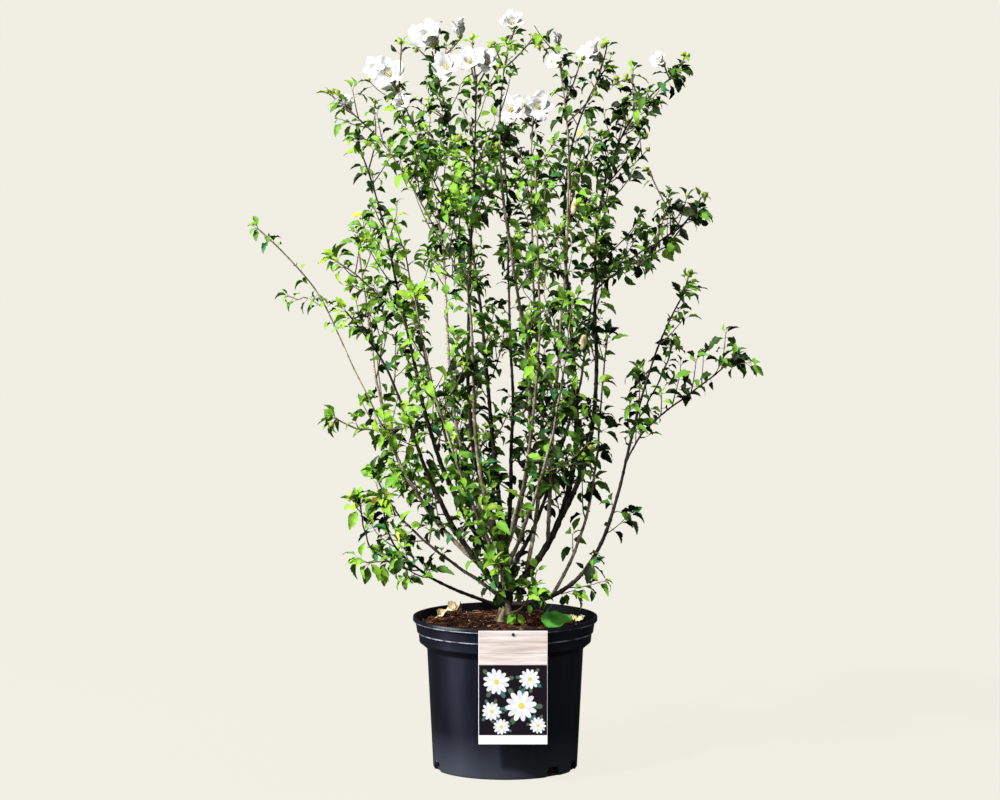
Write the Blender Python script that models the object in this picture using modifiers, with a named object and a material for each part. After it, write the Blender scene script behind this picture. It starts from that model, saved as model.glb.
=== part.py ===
import math
import random

import bmesh
import bpy
from mathutils import Matrix, Vector
from mathutils.bvhtree import BVHTree
from mathutils.kdtree import KDTree

# A white rose of sharon in a nursery pot. Lengths are in metres unless a name says otherwise.
# The origin is under the middle of the pot, +Z is up, and the photo looks along +Y.
GAP = 0.0003
SEED = 2411

# Pot: (radius, height) down the outside, from the lip to the foot
POT_HEIGHT = 0.265
LIP_RADIUS = 0.160
FOOT_RADIUS = 0.1253
POT_OUTSIDE = (
    (LIP_RADIUS, POT_HEIGHT),
    (LIP_RADIUS, 0.2575),
    (0.1556, 0.2560),
    (0.1530, 0.2375),
    (0.1503, 0.2360),
    (0.1489, 0.2230),
    (0.1358, 0.2110),
    (FOOT_RADIUS, 0.0),
)
WALL = 0.0022
FLOOR = 0.0035
TURNED_STEPS = 32

# Drainage notches in the foot: degrees round from the front towards +X
NOTCH_AZIMUTHS = (41, 70, 145, 180, -105, -70)
NOTCH_FOOT_WIDTH = 0.027
NOTCH_TOP_WIDTH = 0.018
NOTCH_HEIGHT = 0.016
NOTCH_DEPTH = 0.012

# Soil, a low mound with a level spot under the trunk
SOIL_EDGE_HEIGHT = 0.249
SOIL_TOP_HEIGHT = 0.254
SOIL_LEVEL_RADIUS = 0.032

# Label card, which hangs from the lip
LABEL_SIZE = (0.117, 0.0010, 0.1945)
LABEL_MIDDLE_X = 0.013
LABEL_TOP = 0.2635
PIN_RADIUS = 0.0025
PIN_HEIGHT = 0.2575
PIN_HEAD = 0.0014
PIN_SHANK = 0.0004

# Trunk: radius at the soil, above the root flare and at the fork
TRUNK_FLARE_RADIUS = 0.021
TRUNK_RADIUS = 0.0125
TRUNK_FORK_RADIUS = 0.0085
TRUNK_FLARE_HEIGHT = 0.022
TRUNK_FORK = (-0.001, 0.0, 0.385)

# Stems. Each row is a name, the limb it leaves, the share of that limb's length where it does, its tip,
# its lean from upright towards +X in degrees at the foot and at the tip, its foot radius in mm, and
# the share of its own length that is bough. The rest of it is the stem of its foliage mass.
STEMS = (
    ("left_floor", "trunk", 0.20, (-0.205, -0.14, 0.480), -70, 4, 5.0, 0.38),
    ("left_low", "trunk", 0.26, (-0.228, 0.11, 0.500), -52, -20, 5.0, 0.38),
    ("right_outer", "trunk", 0.24, (0.310, -0.05, 0.835), 92, 34, 6.0, 0.26),
    ("right_thick", "trunk", 0.36, (0.170, 0.06, 1.205), 50, 32, 9.0, 0.24),
    ("left_main", "trunk", 0.40, (-0.270, -0.10, 0.800), -48, -41, 8.0, 0.26),
    ("front_left", "trunk", 0.50, (-0.150, -0.26, 0.840), -20, -8, 5.0, 0.22),
    ("back_right", "trunk", 0.52, (0.175, 0.26, 0.920), 30, 8, 5.5, 0.22),
    ("back_left", "trunk", 0.58, (-0.180, 0.25, 0.890), -30, -10, 5.5, 0.22),
    ("left_tall", "trunk", 0.62, (-0.248, -0.13, 1.085), -38, -21, 7.0, 0.17),
    ("front_right", "trunk", 0.66, (0.110, -0.25, 0.820), 22, 6, 5.0, 0.20),
    ("middle_left", "trunk", 0.74, (-0.134, -0.17, 1.050), -22, -30, 6.0, 0.17),
    ("back_middle", "trunk", 0.82, (0.000, 0.24, 1.100), 6, 0, 5.5, 0.14),
    ("middle_front", "trunk", 0.84, (-0.048, -0.08, 1.200), -20, 0, 6.5, 0.12),
    ("middle_pale", "trunk", 0.93, (0.009, -0.03, 1.265), 22, 13, 6.0, 0.12),
    ("middle_back", "trunk", 0.96, (-0.127, 0.09, 1.240), -6, -14, 6.0, 0.12),
    ("front_middle", "trunk", 0.90, (0.050, -0.20, 1.040), 16, -2, 5.0, 0.15),
    ("far_left", "left_main", 0.12, (-0.258, 0.06, 0.925), -53, -8, 5.5, 0.16),
    ("top_left", "middle_left", 0.06, (-0.198, 0.16, 1.180), -30, -32, 5.0, 0.13),
    ("right_back", "right_thick", 0.05, (0.050, 0.14, 1.130), 13, 5, 5.5, 0.15),
    ("right_front", "right_thick", 0.12, (0.090, -0.11, 1.235), 0, -8, 5.0, 0.10),
    ("right_top", "right_thick", 0.16, (0.296, -0.05, 1.205), 30, 56, 6.5, 0.10),
    ("right_short", "right_outer", 0.12, (0.180, 0.12, 0.740), 34, 8, 4.5, 0.26),
)

# Side stems inside a mass: name, the mass, the stem or side stem it leaves and the share where it does,
# its tip and its two leans
SIDE_STEMS = (
    ("left_hang", "left_main", "left_main", 0.60, (-0.288, -0.12, 0.622), -92, -50),
    ("left_foot", "left_floor", "left_floor", 0.55, (-0.245, -0.12, 0.474), -95, 6),
    ("left_arch", "far_left", "far_left", 0.36, (-0.425, 0.01, 0.935), -28, -50),
    ("left_arch_low", "far_left", "left_arch", 0.62, (-0.375, 0.03, 0.818), -50, -75),
    ("left_reach", "left_tall", "left_tall", 0.61, (-0.285, -0.19, 0.892), -45, -58),
    ("left_point", "middle_left", "middle_left", 0.70, (-0.268, -0.22, 1.150), -30, -50),
    ("right_rise", "right_top", "right_top", 0.52, (0.322, -0.12, 0.972), 50, 40),
    ("right_middle", "right_top", "right_top", 0.50, (0.285, 0.09, 0.902), 50, 66),
    ("right_tip", "right_outer", "right_outer", 0.50, (0.388, -0.10, 0.722), 10, 44),
    ("right_bend", "right_outer", "right_outer", 0.54, (0.290, 0.06, 0.728), 10, 14),
)

# Low sprays on the trunk: name, share of the trunk's length, and the way each reaches
LOW_SPRAYS = (
    ("low_spray_front", 0.10, (0.045, -0.070, 0.050)),
    ("low_spray_left", 0.30, (-0.020, -0.080, 0.070)),
    ("low_spray_back", 0.34, (0.015, 0.085, 0.045)),
)
LOW_SPRAY_RADIUS = 0.0030

# Blossom: the stem, the share where its stalk leaves it, the way the stalk reaches, the flower's width,
# its depth as a share of that, and the way it faces in degrees: round from the front towards +X, and up
BLOSSOMS = (
    ("middle_back", 1.00, (-0.004, 0.0, 0.020), 0.066, 0.25, -25, 35),
    ("top_left", 1.00, (-0.004, 0.0, 0.016), 0.070, 0.22, 10, 25),
    ("middle_front", 1.00, (0.002, -0.004, 0.016), 0.074, 0.25, 20, 50),
    ("middle_pale", 1.00, (0.002, 0.0, 0.016), 0.042, 0.50, 0, 60),
    ("right_back", 1.00, (0.004, -0.014, 0.008), 0.080, 0.20, 5, 20),
    ("right_front", 0.95, (-0.024, -0.010, 0.006), 0.044, 0.45, -75, 30),
    ("right_thick", 1.00, (-0.016, 0.0, 0.018), 0.042, 0.45, 60, 35),
    ("middle_back", 0.90, (0.034, -0.014, 0.026), 0.052, 0.30, 20, 30),
)
PETALS = 5
PETAL_CLEFT = 0.78
PETAL_THICKNESS = 0.0022
STAMEN_LENGTH = 0.016
STALK_RADIUS = 0.0016

# Growth rules
HANDLE = 0.38
ROUTE_POINTS = 81
TIP_RADIUS = 0.0013
BOUGH_SIDES = 5
BOUGH_CLEARANCE = 0.0004
BOUGH_RUNS = 4
MASS_STEM_RUNS = 5
SIDE_STEM_RUNS = 4
TAPER_POWER = 1.5
SIDE_STEM_SLENDERNESS = 0.75
END_RUN = 0.008
TWIG_SPACING = 0.160
TWIG_LENGTHS = (0.045, 0.095)
TWIG_SPREADS = (38, 66)
TWIG_RADIUS = 0.0017
TWIG_END_RADIUS = 0.0011
GOLDEN_ANGLE = 137.5
TURN_JITTER = 25
TRIES = 14

# Leaves
LEAF_LENGTHS = (0.064, 0.084)
TIP_LEAF_LENGTHS = (0.040, 0.050)
LEAF_WIDTH = 0.60
LEAF_THICKNESS = 0.030
LEAF_BELLY = 0.36
LEAF_FOLD = 0.16
LEAF_SINK = 0.0042
LEAF_DROOP = 0.45

# Room that growth keeps: from a neighbour's space, from boughs, and above the soil
SPACE_MARGIN = 0.0016
BOUGH_MARGIN = 0.0022
LOWEST_GROWTH = 0.272
SKELETON_STEP = 0.008

COLOURS = {
    "pot_plastic": ((0.030, 0.034, 0.045), 0.35),
    "soil_mix": ((0.060, 0.025, 0.010), 0.95),
    "label_card": ((0.70, 0.64, 0.58), 0.45),
    "bark": ((0.30, 0.26, 0.20), 0.85),
    "foliage": ((0.075, 0.20, 0.030), 0.60),
}


def clear_scene():
    for obj in list(bpy.data.objects):
        bpy.data.objects.remove(obj, do_unlink=True)


def new_collection(name):
    collection = bpy.data.collections.new(name)
    bpy.context.scene.collection.children.link(collection)
    return collection


def material(name):
    found = bpy.data.materials.get(name)
    if found:
        return found
    colour, roughness = COLOURS[name]
    made = bpy.data.materials.new(name)
    made.use_nodes = True
    shader = made.node_tree.nodes["Principled BSDF"]
    shader.inputs["Base Color"].default_value = (*colour, 1)
    shader.inputs["Roughness"].default_value = roughness
    shader.inputs["Metallic"].default_value = 0
    return made


def add_object(name, data, collection, material_name=None):
    obj = bpy.data.objects.new(name, data)
    collection.objects.link(obj)
    if material_name:
        data.materials.clear()
        data.materials.append(material(material_name))
    return obj


def mesh_from(bm, name):
    mesh = bpy.data.meshes.new(name)
    bmesh.ops.recalc_face_normals(bm, faces=bm.faces)
    bm.to_mesh(mesh)
    bm.free()
    return mesh


def apply_modifiers(obj):
    bpy.context.view_layer.update()
    evaluated = obj.evaluated_get(bpy.context.evaluated_depsgraph_get())
    mesh = bpy.data.meshes.new_from_object(evaluated)
    obj.modifiers.clear()
    obj.data = mesh


# Turned shapes
def turned(name, profile, collection, material_name):
    mesh = bpy.data.meshes.new(name)
    points = [(radius, 0, height) for radius, height in profile]
    edges = [(i, i + 1) for i in range(len(points) - 1)]
    mesh.from_pydata(points, edges, [])
    obj = add_object(name, mesh, collection, material_name)
    screw = obj.modifiers.new("Turn", "SCREW")
    screw.axis = "Z"
    screw.steps = TURNED_STEPS
    screw.render_steps = TURNED_STEPS
    screw.use_merge_vertices = True
    screw.merge_threshold = 0.00001
    screw.use_normal_calculate = True
    return obj


def pot_inside(clearance):
    """The inner wall from the top down, drawn in by a clearance."""
    lowered = [(radius - WALL - clearance, height) for radius, height in POT_OUTSIDE[2:-1]]
    foot = (FOOT_RADIUS - WALL - clearance, FLOOR + clearance)
    return lowered, foot


def make_notch(azimuth, collection):
    bm = bmesh.new()
    bmesh.ops.create_cube(bm, size=1)
    for vertex in bm.verts:
        width = NOTCH_TOP_WIDTH if vertex.co.z > 0 else NOTCH_FOOT_WIDTH
        vertex.co.x *= width
        vertex.co.y *= NOTCH_DEPTH
        vertex.co.z = NOTCH_HEIGHT if vertex.co.z > 0 else -NOTCH_HEIGHT / 8
    notch = add_object(f"notch_cutter_{azimuth}", mesh_from(bm, "notch_cutter"), collection)
    notch.matrix_world = Matrix.Rotation(math.radians(azimuth), 4, "Z") @ Matrix.Translation(
        (0, -FOOT_RADIUS, 0)
    )
    notch.hide_render = True
    notch.display_type = "WIRE"


def make_pot(parts, cutters):
    lowered, foot = pot_inside(0)
    top = (lowered[0][0] + WALL / 2, POT_HEIGHT)
    outside = [(0, 0), *reversed(POT_OUTSIDE)]
    profile = [*outside, top, *lowered, foot, (0, FLOOR)]
    pot = turned("pot", profile, parts, "pot_plastic")
    for azimuth in NOTCH_AZIMUTHS:
        make_notch(azimuth, cutters)
    cut = pot.modifiers.new("Notches", "BOOLEAN")
    cut.operation = "DIFFERENCE"
    cut.operand_type = "COLLECTION"
    cut.collection = cutters
    cut.solver = "EXACT"


def make_soil(parts):
    lowered, foot = pot_inside(GAP)
    below = [row for row in lowered if row[1] < SOIL_EDGE_HEIGHT - GAP]
    above = [row for row in lowered if row[1] >= SOIL_EDGE_HEIGHT - GAP][-1]
    share = (SOIL_EDGE_HEIGHT - below[0][1]) / (above[1] - below[0][1])
    edge = (below[0][0] + share * (above[0] - below[0][0]), SOIL_EDGE_HEIGHT)
    bottom = [(0, foot[1]), foot]
    wall = list(reversed(below))
    top = [edge, (SOIL_LEVEL_RADIUS, SOIL_TOP_HEIGHT), (0, SOIL_TOP_HEIGHT)]
    turned("soil", [*bottom, *wall, *top], parts, "soil_mix")


def make_label(parts):
    width, depth, height = LABEL_SIZE
    back = -LIP_RADIUS - GAP
    bm = bmesh.new()
    bmesh.ops.create_cube(bm, size=1)
    bmesh.ops.scale(bm, vec=(width, depth, height), verts=bm.verts)
    label = add_object("label_card", mesh_from(bm, "label_card"), parts, "label_card")
    label.location = (LABEL_MIDDLE_X, back - depth / 2, LABEL_TOP - height / 2)
    helpers = new_collection("label_pin")
    bm = bmesh.new()
    length = PIN_HEAD + depth + PIN_SHANK
    bmesh.ops.create_cone(
        bm, cap_ends=True, segments=12, radius1=PIN_RADIUS, radius2=PIN_RADIUS, depth=length
    )
    pin = add_object("pin", mesh_from(bm, "pin"), helpers)
    pin.rotation_euler = (math.radians(90), 0, 0)
    pin.location = (LABEL_MIDDLE_X, back + PIN_SHANK - length / 2, PIN_HEIGHT)
    join_collection(label, helpers)


# Joining
def join_collection(base, pieces):
    """Fuses every object of a collection onto the base, then removes them."""
    union = base.modifiers.new("Join", "BOOLEAN")
    union.operation = "UNION"
    union.operand_type = "COLLECTION"
    union.collection = pieces
    union.solver = "EXACT"
    apply_modifiers(base)
    for obj in list(pieces.objects):
        bpy.data.objects.remove(obj, do_unlink=True)
    bpy.data.collections.remove(pieces)


def shells_of(bm):
    """Lists of faces, one for each closed surface of the mesh."""
    left = set(bm.faces)
    shells = []
    while left:
        seed = left.pop()
        shell, edge_of_search = [seed], [seed]
        while edge_of_search:
            face = edge_of_search.pop()
            for edge in face.edges:
                for other in edge.link_faces:
                    if other in left:
                        left.remove(other)
                        shell.append(other)
                        edge_of_search.append(other)
        shells.append(shell)
    return shells


def keep_main_shell(obj):
    """Drops sealed hollows and loose scraps, which leaves the outermost surface."""
    bm = bmesh.new()
    bm.from_mesh(obj.data)
    shells = shells_of(bm)
    main = max(shells, key=lambda shell: sum(face.calc_area() for face in shell))
    for shell in shells:
        if shell is not main:
            bmesh.ops.delete(bm, geom=shell, context="FACES")
    bm.to_mesh(obj.data)
    bm.free()


# Limb routes
def lean_handle(lean, length, depth):
    turn = math.radians(lean)
    return Vector((math.sin(turn) * length, depth, math.cos(turn) * length))


def curve_points(start, start_handle, end_handle, end, count):
    points = []
    for i in range(count):
        t = i / (count - 1)
        s = 1 - t
        near = start * s**3 + start_handle * (3 * s * s * t)
        far = end_handle * (3 * s * t * t) + end * t**3
        points.append(near + far)
    return points


def even_points(points, count):
    """The same route with its points at even distances."""
    lengths = [0.0]
    for a, b in zip(points, points[1:]):
        lengths.append(lengths[-1] + (b - a).length)
    made, i = [], 0
    for k in range(count):
        target = lengths[-1] * k / (count - 1)
        while i < len(points) - 2 and lengths[i + 1] < target:
            i += 1
        span = lengths[i + 1] - lengths[i]
        made.append(points[i].lerp(points[i + 1], (target - lengths[i]) / span))
    return made


def stem_route(foot, tip, foot_lean, tip_lean):
    tip = Vector(tip)
    flat = math.hypot(tip.x - foot.x, tip.z - foot.z) * HANDLE
    depth = (tip.y - foot.y) * HANDLE
    start = foot + lean_handle(foot_lean, flat, depth * 1.3)
    end = tip - lean_handle(tip_lean, flat, depth * 0.6)
    fine = curve_points(foot, start, end, tip, 4 * ROUTE_POINTS)
    return even_points(fine, ROUTE_POINTS)


def route_length(route):
    return sum((b - a).length for a, b in zip(route, route[1:]))


def at_share(route, share):
    place = share * (len(route) - 1)
    i = min(int(place), len(route) - 2)
    return route[i].lerp(route[i + 1], place - i)


def heading_at(route, share):
    low, high = max(share - 0.01, 0), min(share + 0.01, 1)
    return (at_share(route, high) - at_share(route, low)).normalized()


def radius_at(foot_radius, share):
    left = max(0, 1 - share)
    return TIP_RADIUS + (foot_radius - TIP_RADIUS) * left**TAPER_POWER


def trunk_radius(height):
    """Radius of the trunk at a height above the soil: a short root flare, then an even taper."""
    rise = TRUNK_FORK[2] - SOIL_TOP_HEIGHT
    even = TRUNK_RADIUS + (TRUNK_FORK_RADIUS - TRUNK_RADIUS) * height / rise
    flare = max(0, 1 - height / TRUNK_FLARE_HEIGHT) ** 2
    return even + (TRUNK_FLARE_RADIUS - TRUNK_RADIUS) * flare


# Tubes
def profile_helper(sides, collection):
    """A small closed outline that a curve takes as its section, with a radius of 1."""
    curve = bpy.data.curves.new("section", "CURVE")
    curve.dimensions = "2D"
    spline = curve.splines.new("POLY")
    spline.points.add(sides - 1)
    for i, point in enumerate(spline.points):
        turn = math.tau * i / sides
        point.co = (math.cos(turn), math.sin(turn), 0, 1)
    spline.use_cyclic_u = True
    helper = bpy.data.objects.new(f"section_{sides}", curve)
    collection.objects.link(helper)
    helper.hide_render = True
    helper.display_type = "WIRE"
    return helper


def make_tube(name, points, radii, sides, collection):
    """A tapering tube as a closed mesh object, from a curve with a section of so many sides."""
    curve = bpy.data.curves.new(name, "CURVE")
    curve.dimensions = "3D"
    curve.twist_mode = "MINIMUM"
    curve.bevel_mode = "OBJECT"
    curve.bevel_object = bpy.data.objects[f"section_{sides}"]
    curve.use_fill_caps = True
    spline = curve.splines.new("POLY")
    spline.points.add(len(points) - 1)
    for point, place, radius in zip(spline.points, points, radii):
        point.co = (*place, 1)
        point.radius = radius
    guide = bpy.data.objects.new(name, curve)
    collection.objects.link(guide)
    bpy.context.view_layer.update()
    evaluated = guide.evaluated_get(bpy.context.evaluated_depsgraph_get())
    mesh = bpy.data.meshes.new_from_object(evaluated)
    bpy.data.objects.remove(guide, do_unlink=True)
    bm = bmesh.new()
    bm.from_mesh(mesh)
    bmesh.ops.remove_doubles(bm, verts=bm.verts, dist=0.000005)
    bmesh.ops.recalc_face_normals(bm, faces=bm.faces)
    bm.to_mesh(mesh)
    bm.free()
    obj = bpy.data.objects.new(name, mesh)
    collection.objects.link(obj)
    return obj


def cut_clear(obj, others):
    """Cuts widened copies of other limbs out of a limb, so that it meets them with a gap."""
    for other in others:
        cut = obj.modifiers.new("Clear", "BOOLEAN")
        cut.operation = "DIFFERENCE"
        cut.object = other
        cut.solver = "EXACT"
    apply_modifiers(obj)
    keep_main_shell(obj)


def boxes_meet(a, b):
    spans = []
    for obj in (a, b):
        places = [vertex.co for vertex in obj.data.vertices]
        low = [min(place[k] for place in places) for k in range(3)]
        high = [max(place[k] for place in places) for k in range(3)]
        spans.append((low, high))
    (low_a, high_a), (low_b, high_b) = spans
    return all(low_a[k] < high_b[k] and low_b[k] < high_a[k] for k in range(3))


# Trunk and boughs
def make_trunk(parts, cutters, routes):
    foot = Vector((0, 0, SOIL_TOP_HEIGHT + GAP))
    route = stem_route(foot, TRUNK_FORK, 3, -2)
    routes["trunk"] = route
    shares = (0, 0.05, 0.11, 0.18, 0.40, 0.70, 1)
    points = [at_share(route, share) for share in shares]
    points[1].x = points[0].x
    points[1].y = points[0].y
    radii = [trunk_radius(point.z - SOIL_TOP_HEIGHT) for point in points]
    trunk = make_tube("trunk", points, radii, 10, parts)
    trunk.data.materials.append(material("bark"))
    wide = make_tube("trunk_clearance", points, [r + GAP for r in radii], 10, cutters)
    hide_helper(wide)


def hide_helper(obj):
    obj.hide_render = True
    obj.display_type = "WIRE"


def bough_points(route, share, foot_radius):
    """Points and radii from the foot to the end of the bough, with a straight end run."""
    length = route_length(route)
    end = at_share(route, share)
    heading = heading_at(route, share)
    inner = share - END_RUN / length
    steps = [inner * i / BOUGH_RUNS for i in range(BOUGH_RUNS)]
    points = [at_share(route, step) for step in steps]
    points += [end - heading * END_RUN, end]
    radii = [radius_at(foot_radius, step) for step in [*steps, inner, share]]
    return points, radii


def make_bough(row, parts, cutters, routes):
    name, parent, parent_share, tip, foot_lean, tip_lean, foot_mm, bough_share = row
    foot = at_share(routes[parent], parent_share)
    route = stem_route(foot, tip, foot_lean, tip_lean)
    routes[name] = route
    points, radii = bough_points(route, bough_share, foot_mm / 1000)
    bough = make_tube(f"bough_{name}", points, radii, BOUGH_SIDES, parts)
    bough.data.materials.append(material("bark"))
    near = [other for other in cutters.objects if other.name.endswith("_clearance")]
    cut_clear(bough, [other for other in near if boxes_meet(bough, other)])
    wide = make_tube(f"{name}_clearance", points, [r + BOUGH_CLEARANCE for r in radii], BOUGH_SIDES, cutters)
    hide_helper(wide)


# Space of each mass
def add_side_stem_routes(routes):
    for name, _, parent, share, tip, foot_lean, tip_lean in SIDE_STEMS:
        foot = at_share(routes[parent], share)
        routes[name] = stem_route(foot, tip, foot_lean, tip_lean)


def side_stems_of(mass):
    return [row for row in SIDE_STEMS if row[1] == mass]


def spray_route(share, reach, routes):
    foot = at_share(routes["trunk"], share)
    tip = foot + Vector(reach)
    level = foot + Vector((reach[0] * 0.6, reach[1] * 0.6, reach[2] * 0.25))
    return even_points(curve_points(foot, level, level, tip, ROUTE_POINTS), 21)


def skeleton_points(route, start_share):
    count = max(2, int(route_length(route) * (1 - start_share) / SKELETON_STEP))
    return [
        at_share(route, start_share + (1 - start_share) * i / (count - 1)) for i in range(count)
    ]


def blossom_places(name, routes):
    """Foot of the stalk, flower centre and row of each blossom on a stem."""
    made = []
    for row in BLOSSOMS:
        if row[0] == name:
            foot = at_share(routes[name], row[1])
            made.append((foot, foot + Vector(row[2]), row))
    return made


def mass_skeleton(name, routes):
    share = next((row[7] for row in STEMS if row[0] == name), 0)
    points = skeleton_points(routes[name], share)
    for row in side_stems_of(name):
        points += skeleton_points(routes[row[0]], 0)
    for foot, centre, row in blossom_places(name, routes):
        reach = row[3] / 2
        points += [foot, centre]
        for i in range(8):
            turn = math.tau * i / 8
            points.append(centre + Vector((math.cos(turn), math.sin(turn), 0.3)) * reach)
    return points


def tree_of(points):
    tree = KDTree(len(points))
    for i, point in enumerate(points):
        tree.insert(point, i)
    tree.balance()
    return tree


def bough_spheres(routes):
    """Centres and radii along the trunk and the boughs."""
    made = []
    for point in skeleton_points(routes["trunk"], 0):
        made.append((point, trunk_radius(point.z - SOIL_TOP_HEIGHT)))
    for row in STEMS:
        count = int(route_length(routes[row[0]]) * row[7] / (SKELETON_STEP / 2))
        for i in range(count + 1):
            share = row[7] * i / count
            made.append((at_share(routes[row[0]], share), radius_at(row[6] / 1000, share)))
    return made


class Room:
    """The space of one mass, clear of limbs and soil, and the growth that already stands in it."""

    def __init__(self, name, skeletons, limbs):
        self.own = tree_of(skeletons[name])
        self.others = tree_of([p for key, points in skeletons.items() if key != name for p in points])
        self.limbs = limbs
        self.limb_tree = tree_of([centre for centre, _ in limbs])
        self.reach = max(radius for _, radius in limbs) + BOUGH_MARGIN
        self.standing = []

    def holds(self, points):
        for point in points:
            if point.z < LOWEST_GROWTH:
                return False
            if self.others.find(point)[2] - self.own.find(point)[2] < 2 * SPACE_MARGIN:
                return False
            for _, i, distance in self.limb_tree.find_range(point, self.reach):
                if distance < self.limbs[i][1] + BOUGH_MARGIN:
                    return False
        return True

    def stand(self, mesh, host=None):
        """Takes a mesh in unless it crosses growth other than its host. Returns its tree, or None."""
        places = [vertex.co for vertex in mesh.vertices]
        tree = BVHTree.FromPolygons(places, [face.vertices for face in mesh.polygons])
        if any(other is not host and other.overlap(tree) for other in self.standing):
            return None
        self.standing.append(tree)
        return tree


# Twigs and leaves
def turned_aside(heading, turn, spread):
    """A direction at an angle from the heading, turned round it."""
    side = heading.orthogonal().normalized()
    side.rotate(Matrix.Rotation(turn, 3, heading))
    return (heading * math.cos(spread) + side * math.sin(spread)).normalized()


def leaf_frame(direction, dice):
    """Side, up and forward axes of a leaf that faces mostly the sky and the light."""
    light = Vector((dice.uniform(-0.7, 0.3), dice.uniform(-0.9, 0.3), dice.uniform(0.2, 1.0)))
    side = light.cross(direction)
    if side.length < 0.05:
        side = direction.orthogonal()
    side.normalize()
    return Matrix((side, direction.cross(side) * -1, direction)).transposed()


def leaf_test_points(foot, frame, length):
    forward, side = frame.col[2], frame.col[0]
    belly = foot + forward * (length * LEAF_BELLY)
    half = length * LEAF_WIDTH / 2
    middle = foot + forward * (length * 0.65)
    return [
        foot + forward * (length * 0.12),
        belly,
        belly + side * half,
        belly - side * half,
        middle + side * (half * 0.6),
        middle - side * (half * 0.6),
        foot + forward * length,
    ]


def leaf_mesh(foot, frame, length):
    """An eight-faced leaf, widest near its foot, folded along its middle and sunk in its twig."""
    bm = bmesh.new()
    bmesh.ops.create_uvsphere(bm, u_segments=4, v_segments=2, radius=0.5)
    width, thickness = length * LEAF_WIDTH, length * LEAF_THICKNESS
    for vertex in bm.verts:
        x, y, z = vertex.co
        if abs(z) < 0.1:
            fold = -LEAF_FOLD * width if abs(x) > 0.1 else 0
            vertex.co = (x * width, y * thickness + fold, LEAF_BELLY * length)
        else:
            vertex.co = (0, 0, length if z > 0 else -LEAF_SINK)
    bmesh.ops.transform(bm, matrix=Matrix.Translation(foot) @ frame.to_4x4(), verts=bm.verts)
    return mesh_from(bm, "leaf")


def grow_leaf(foot, heading, turn, spread, lengths, host, room, dice, pieces):
    for _ in range(TRIES):
        length = dice.uniform(*lengths)
        angle = turn + math.radians(dice.uniform(-TURN_JITTER, TURN_JITTER))
        direction = turned_aside(heading, angle, math.radians(spread * dice.uniform(0.8, 1.2)))
        direction.z -= LEAF_DROOP * dice.uniform(0.1, 1)
        direction.normalize()
        frame = leaf_frame(direction, dice)
        turn += math.radians(GOLDEN_ANGLE)
        if not room.holds(leaf_test_points(foot, frame, length)):
            continue
        mesh = leaf_mesh(foot, frame, length)
        if room.stand(mesh, host):
            add_object("leaf", mesh, pieces)
            return


def grow_twig(foot, heading, turn, host, room, dice, pieces):
    """A short side shoot with a leaf at its tip and one along it."""
    for _ in range(TRIES):
        length = dice.uniform(*TWIG_LENGTHS)
        angle = turn + math.radians(dice.uniform(-TURN_JITTER, TURN_JITTER))
        direction = turned_aside(heading, angle, math.radians(dice.uniform(*TWIG_SPREADS)))
        tip = foot + direction * length
        turn += math.radians(GOLDEN_ANGLE)
        if not room.holds([foot.lerp(tip, 0.3), foot.lerp(tip, 0.65), tip]):
            continue
        twig = make_tube("twig", [foot, tip], (TWIG_RADIUS, TWIG_END_RADIUS), 3, pieces)
        own = room.stand(twig.data, host)
        if own:
            break
        bpy.data.objects.remove(twig, do_unlink=True)
    else:
        return
    end = tip - direction * 0.003
    grow_leaf(end, direction, turn, 18, LEAF_LENGTHS, own, room, dice, pieces)
    side = foot.lerp(tip, dice.uniform(0.45, 0.65))
    grow_leaf(side, direction, turn, 60, LEAF_LENGTHS, own, room, dice, pieces)


def grow_along(route, start, host, room, dice, pieces, with_twigs=True):
    """Twigs and leaves in turn along a stem, then leaves round its tip."""
    length = route_length(route) * (1 - start)
    count = max(2, round(length / TWIG_SPACING))
    turn = dice.uniform(0, math.tau)
    for i in range(count):
        for offset in (0.25, 0.75):
            share = start + (1 - start) * (i + offset) / count
            turn += math.radians(GOLDEN_ANGLE)
            foot, heading = at_share(route, share), heading_at(route, share)
            if with_twigs and offset == 0.25:
                grow_twig(foot, heading, turn, host, room, dice, pieces)
            else:
                grow_leaf(foot, heading, turn, 60, LEAF_LENGTHS, host, room, dice, pieces)
    for share, spread in ((0.995, 10), (0.96, 50)):
        foot, heading = at_share(route, share), heading_at(route, share)
        turn += math.radians(GOLDEN_ANGLE)
        grow_leaf(foot, heading, turn, spread, TIP_LEAF_LENGTHS, host, room, dice, pieces)


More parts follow.
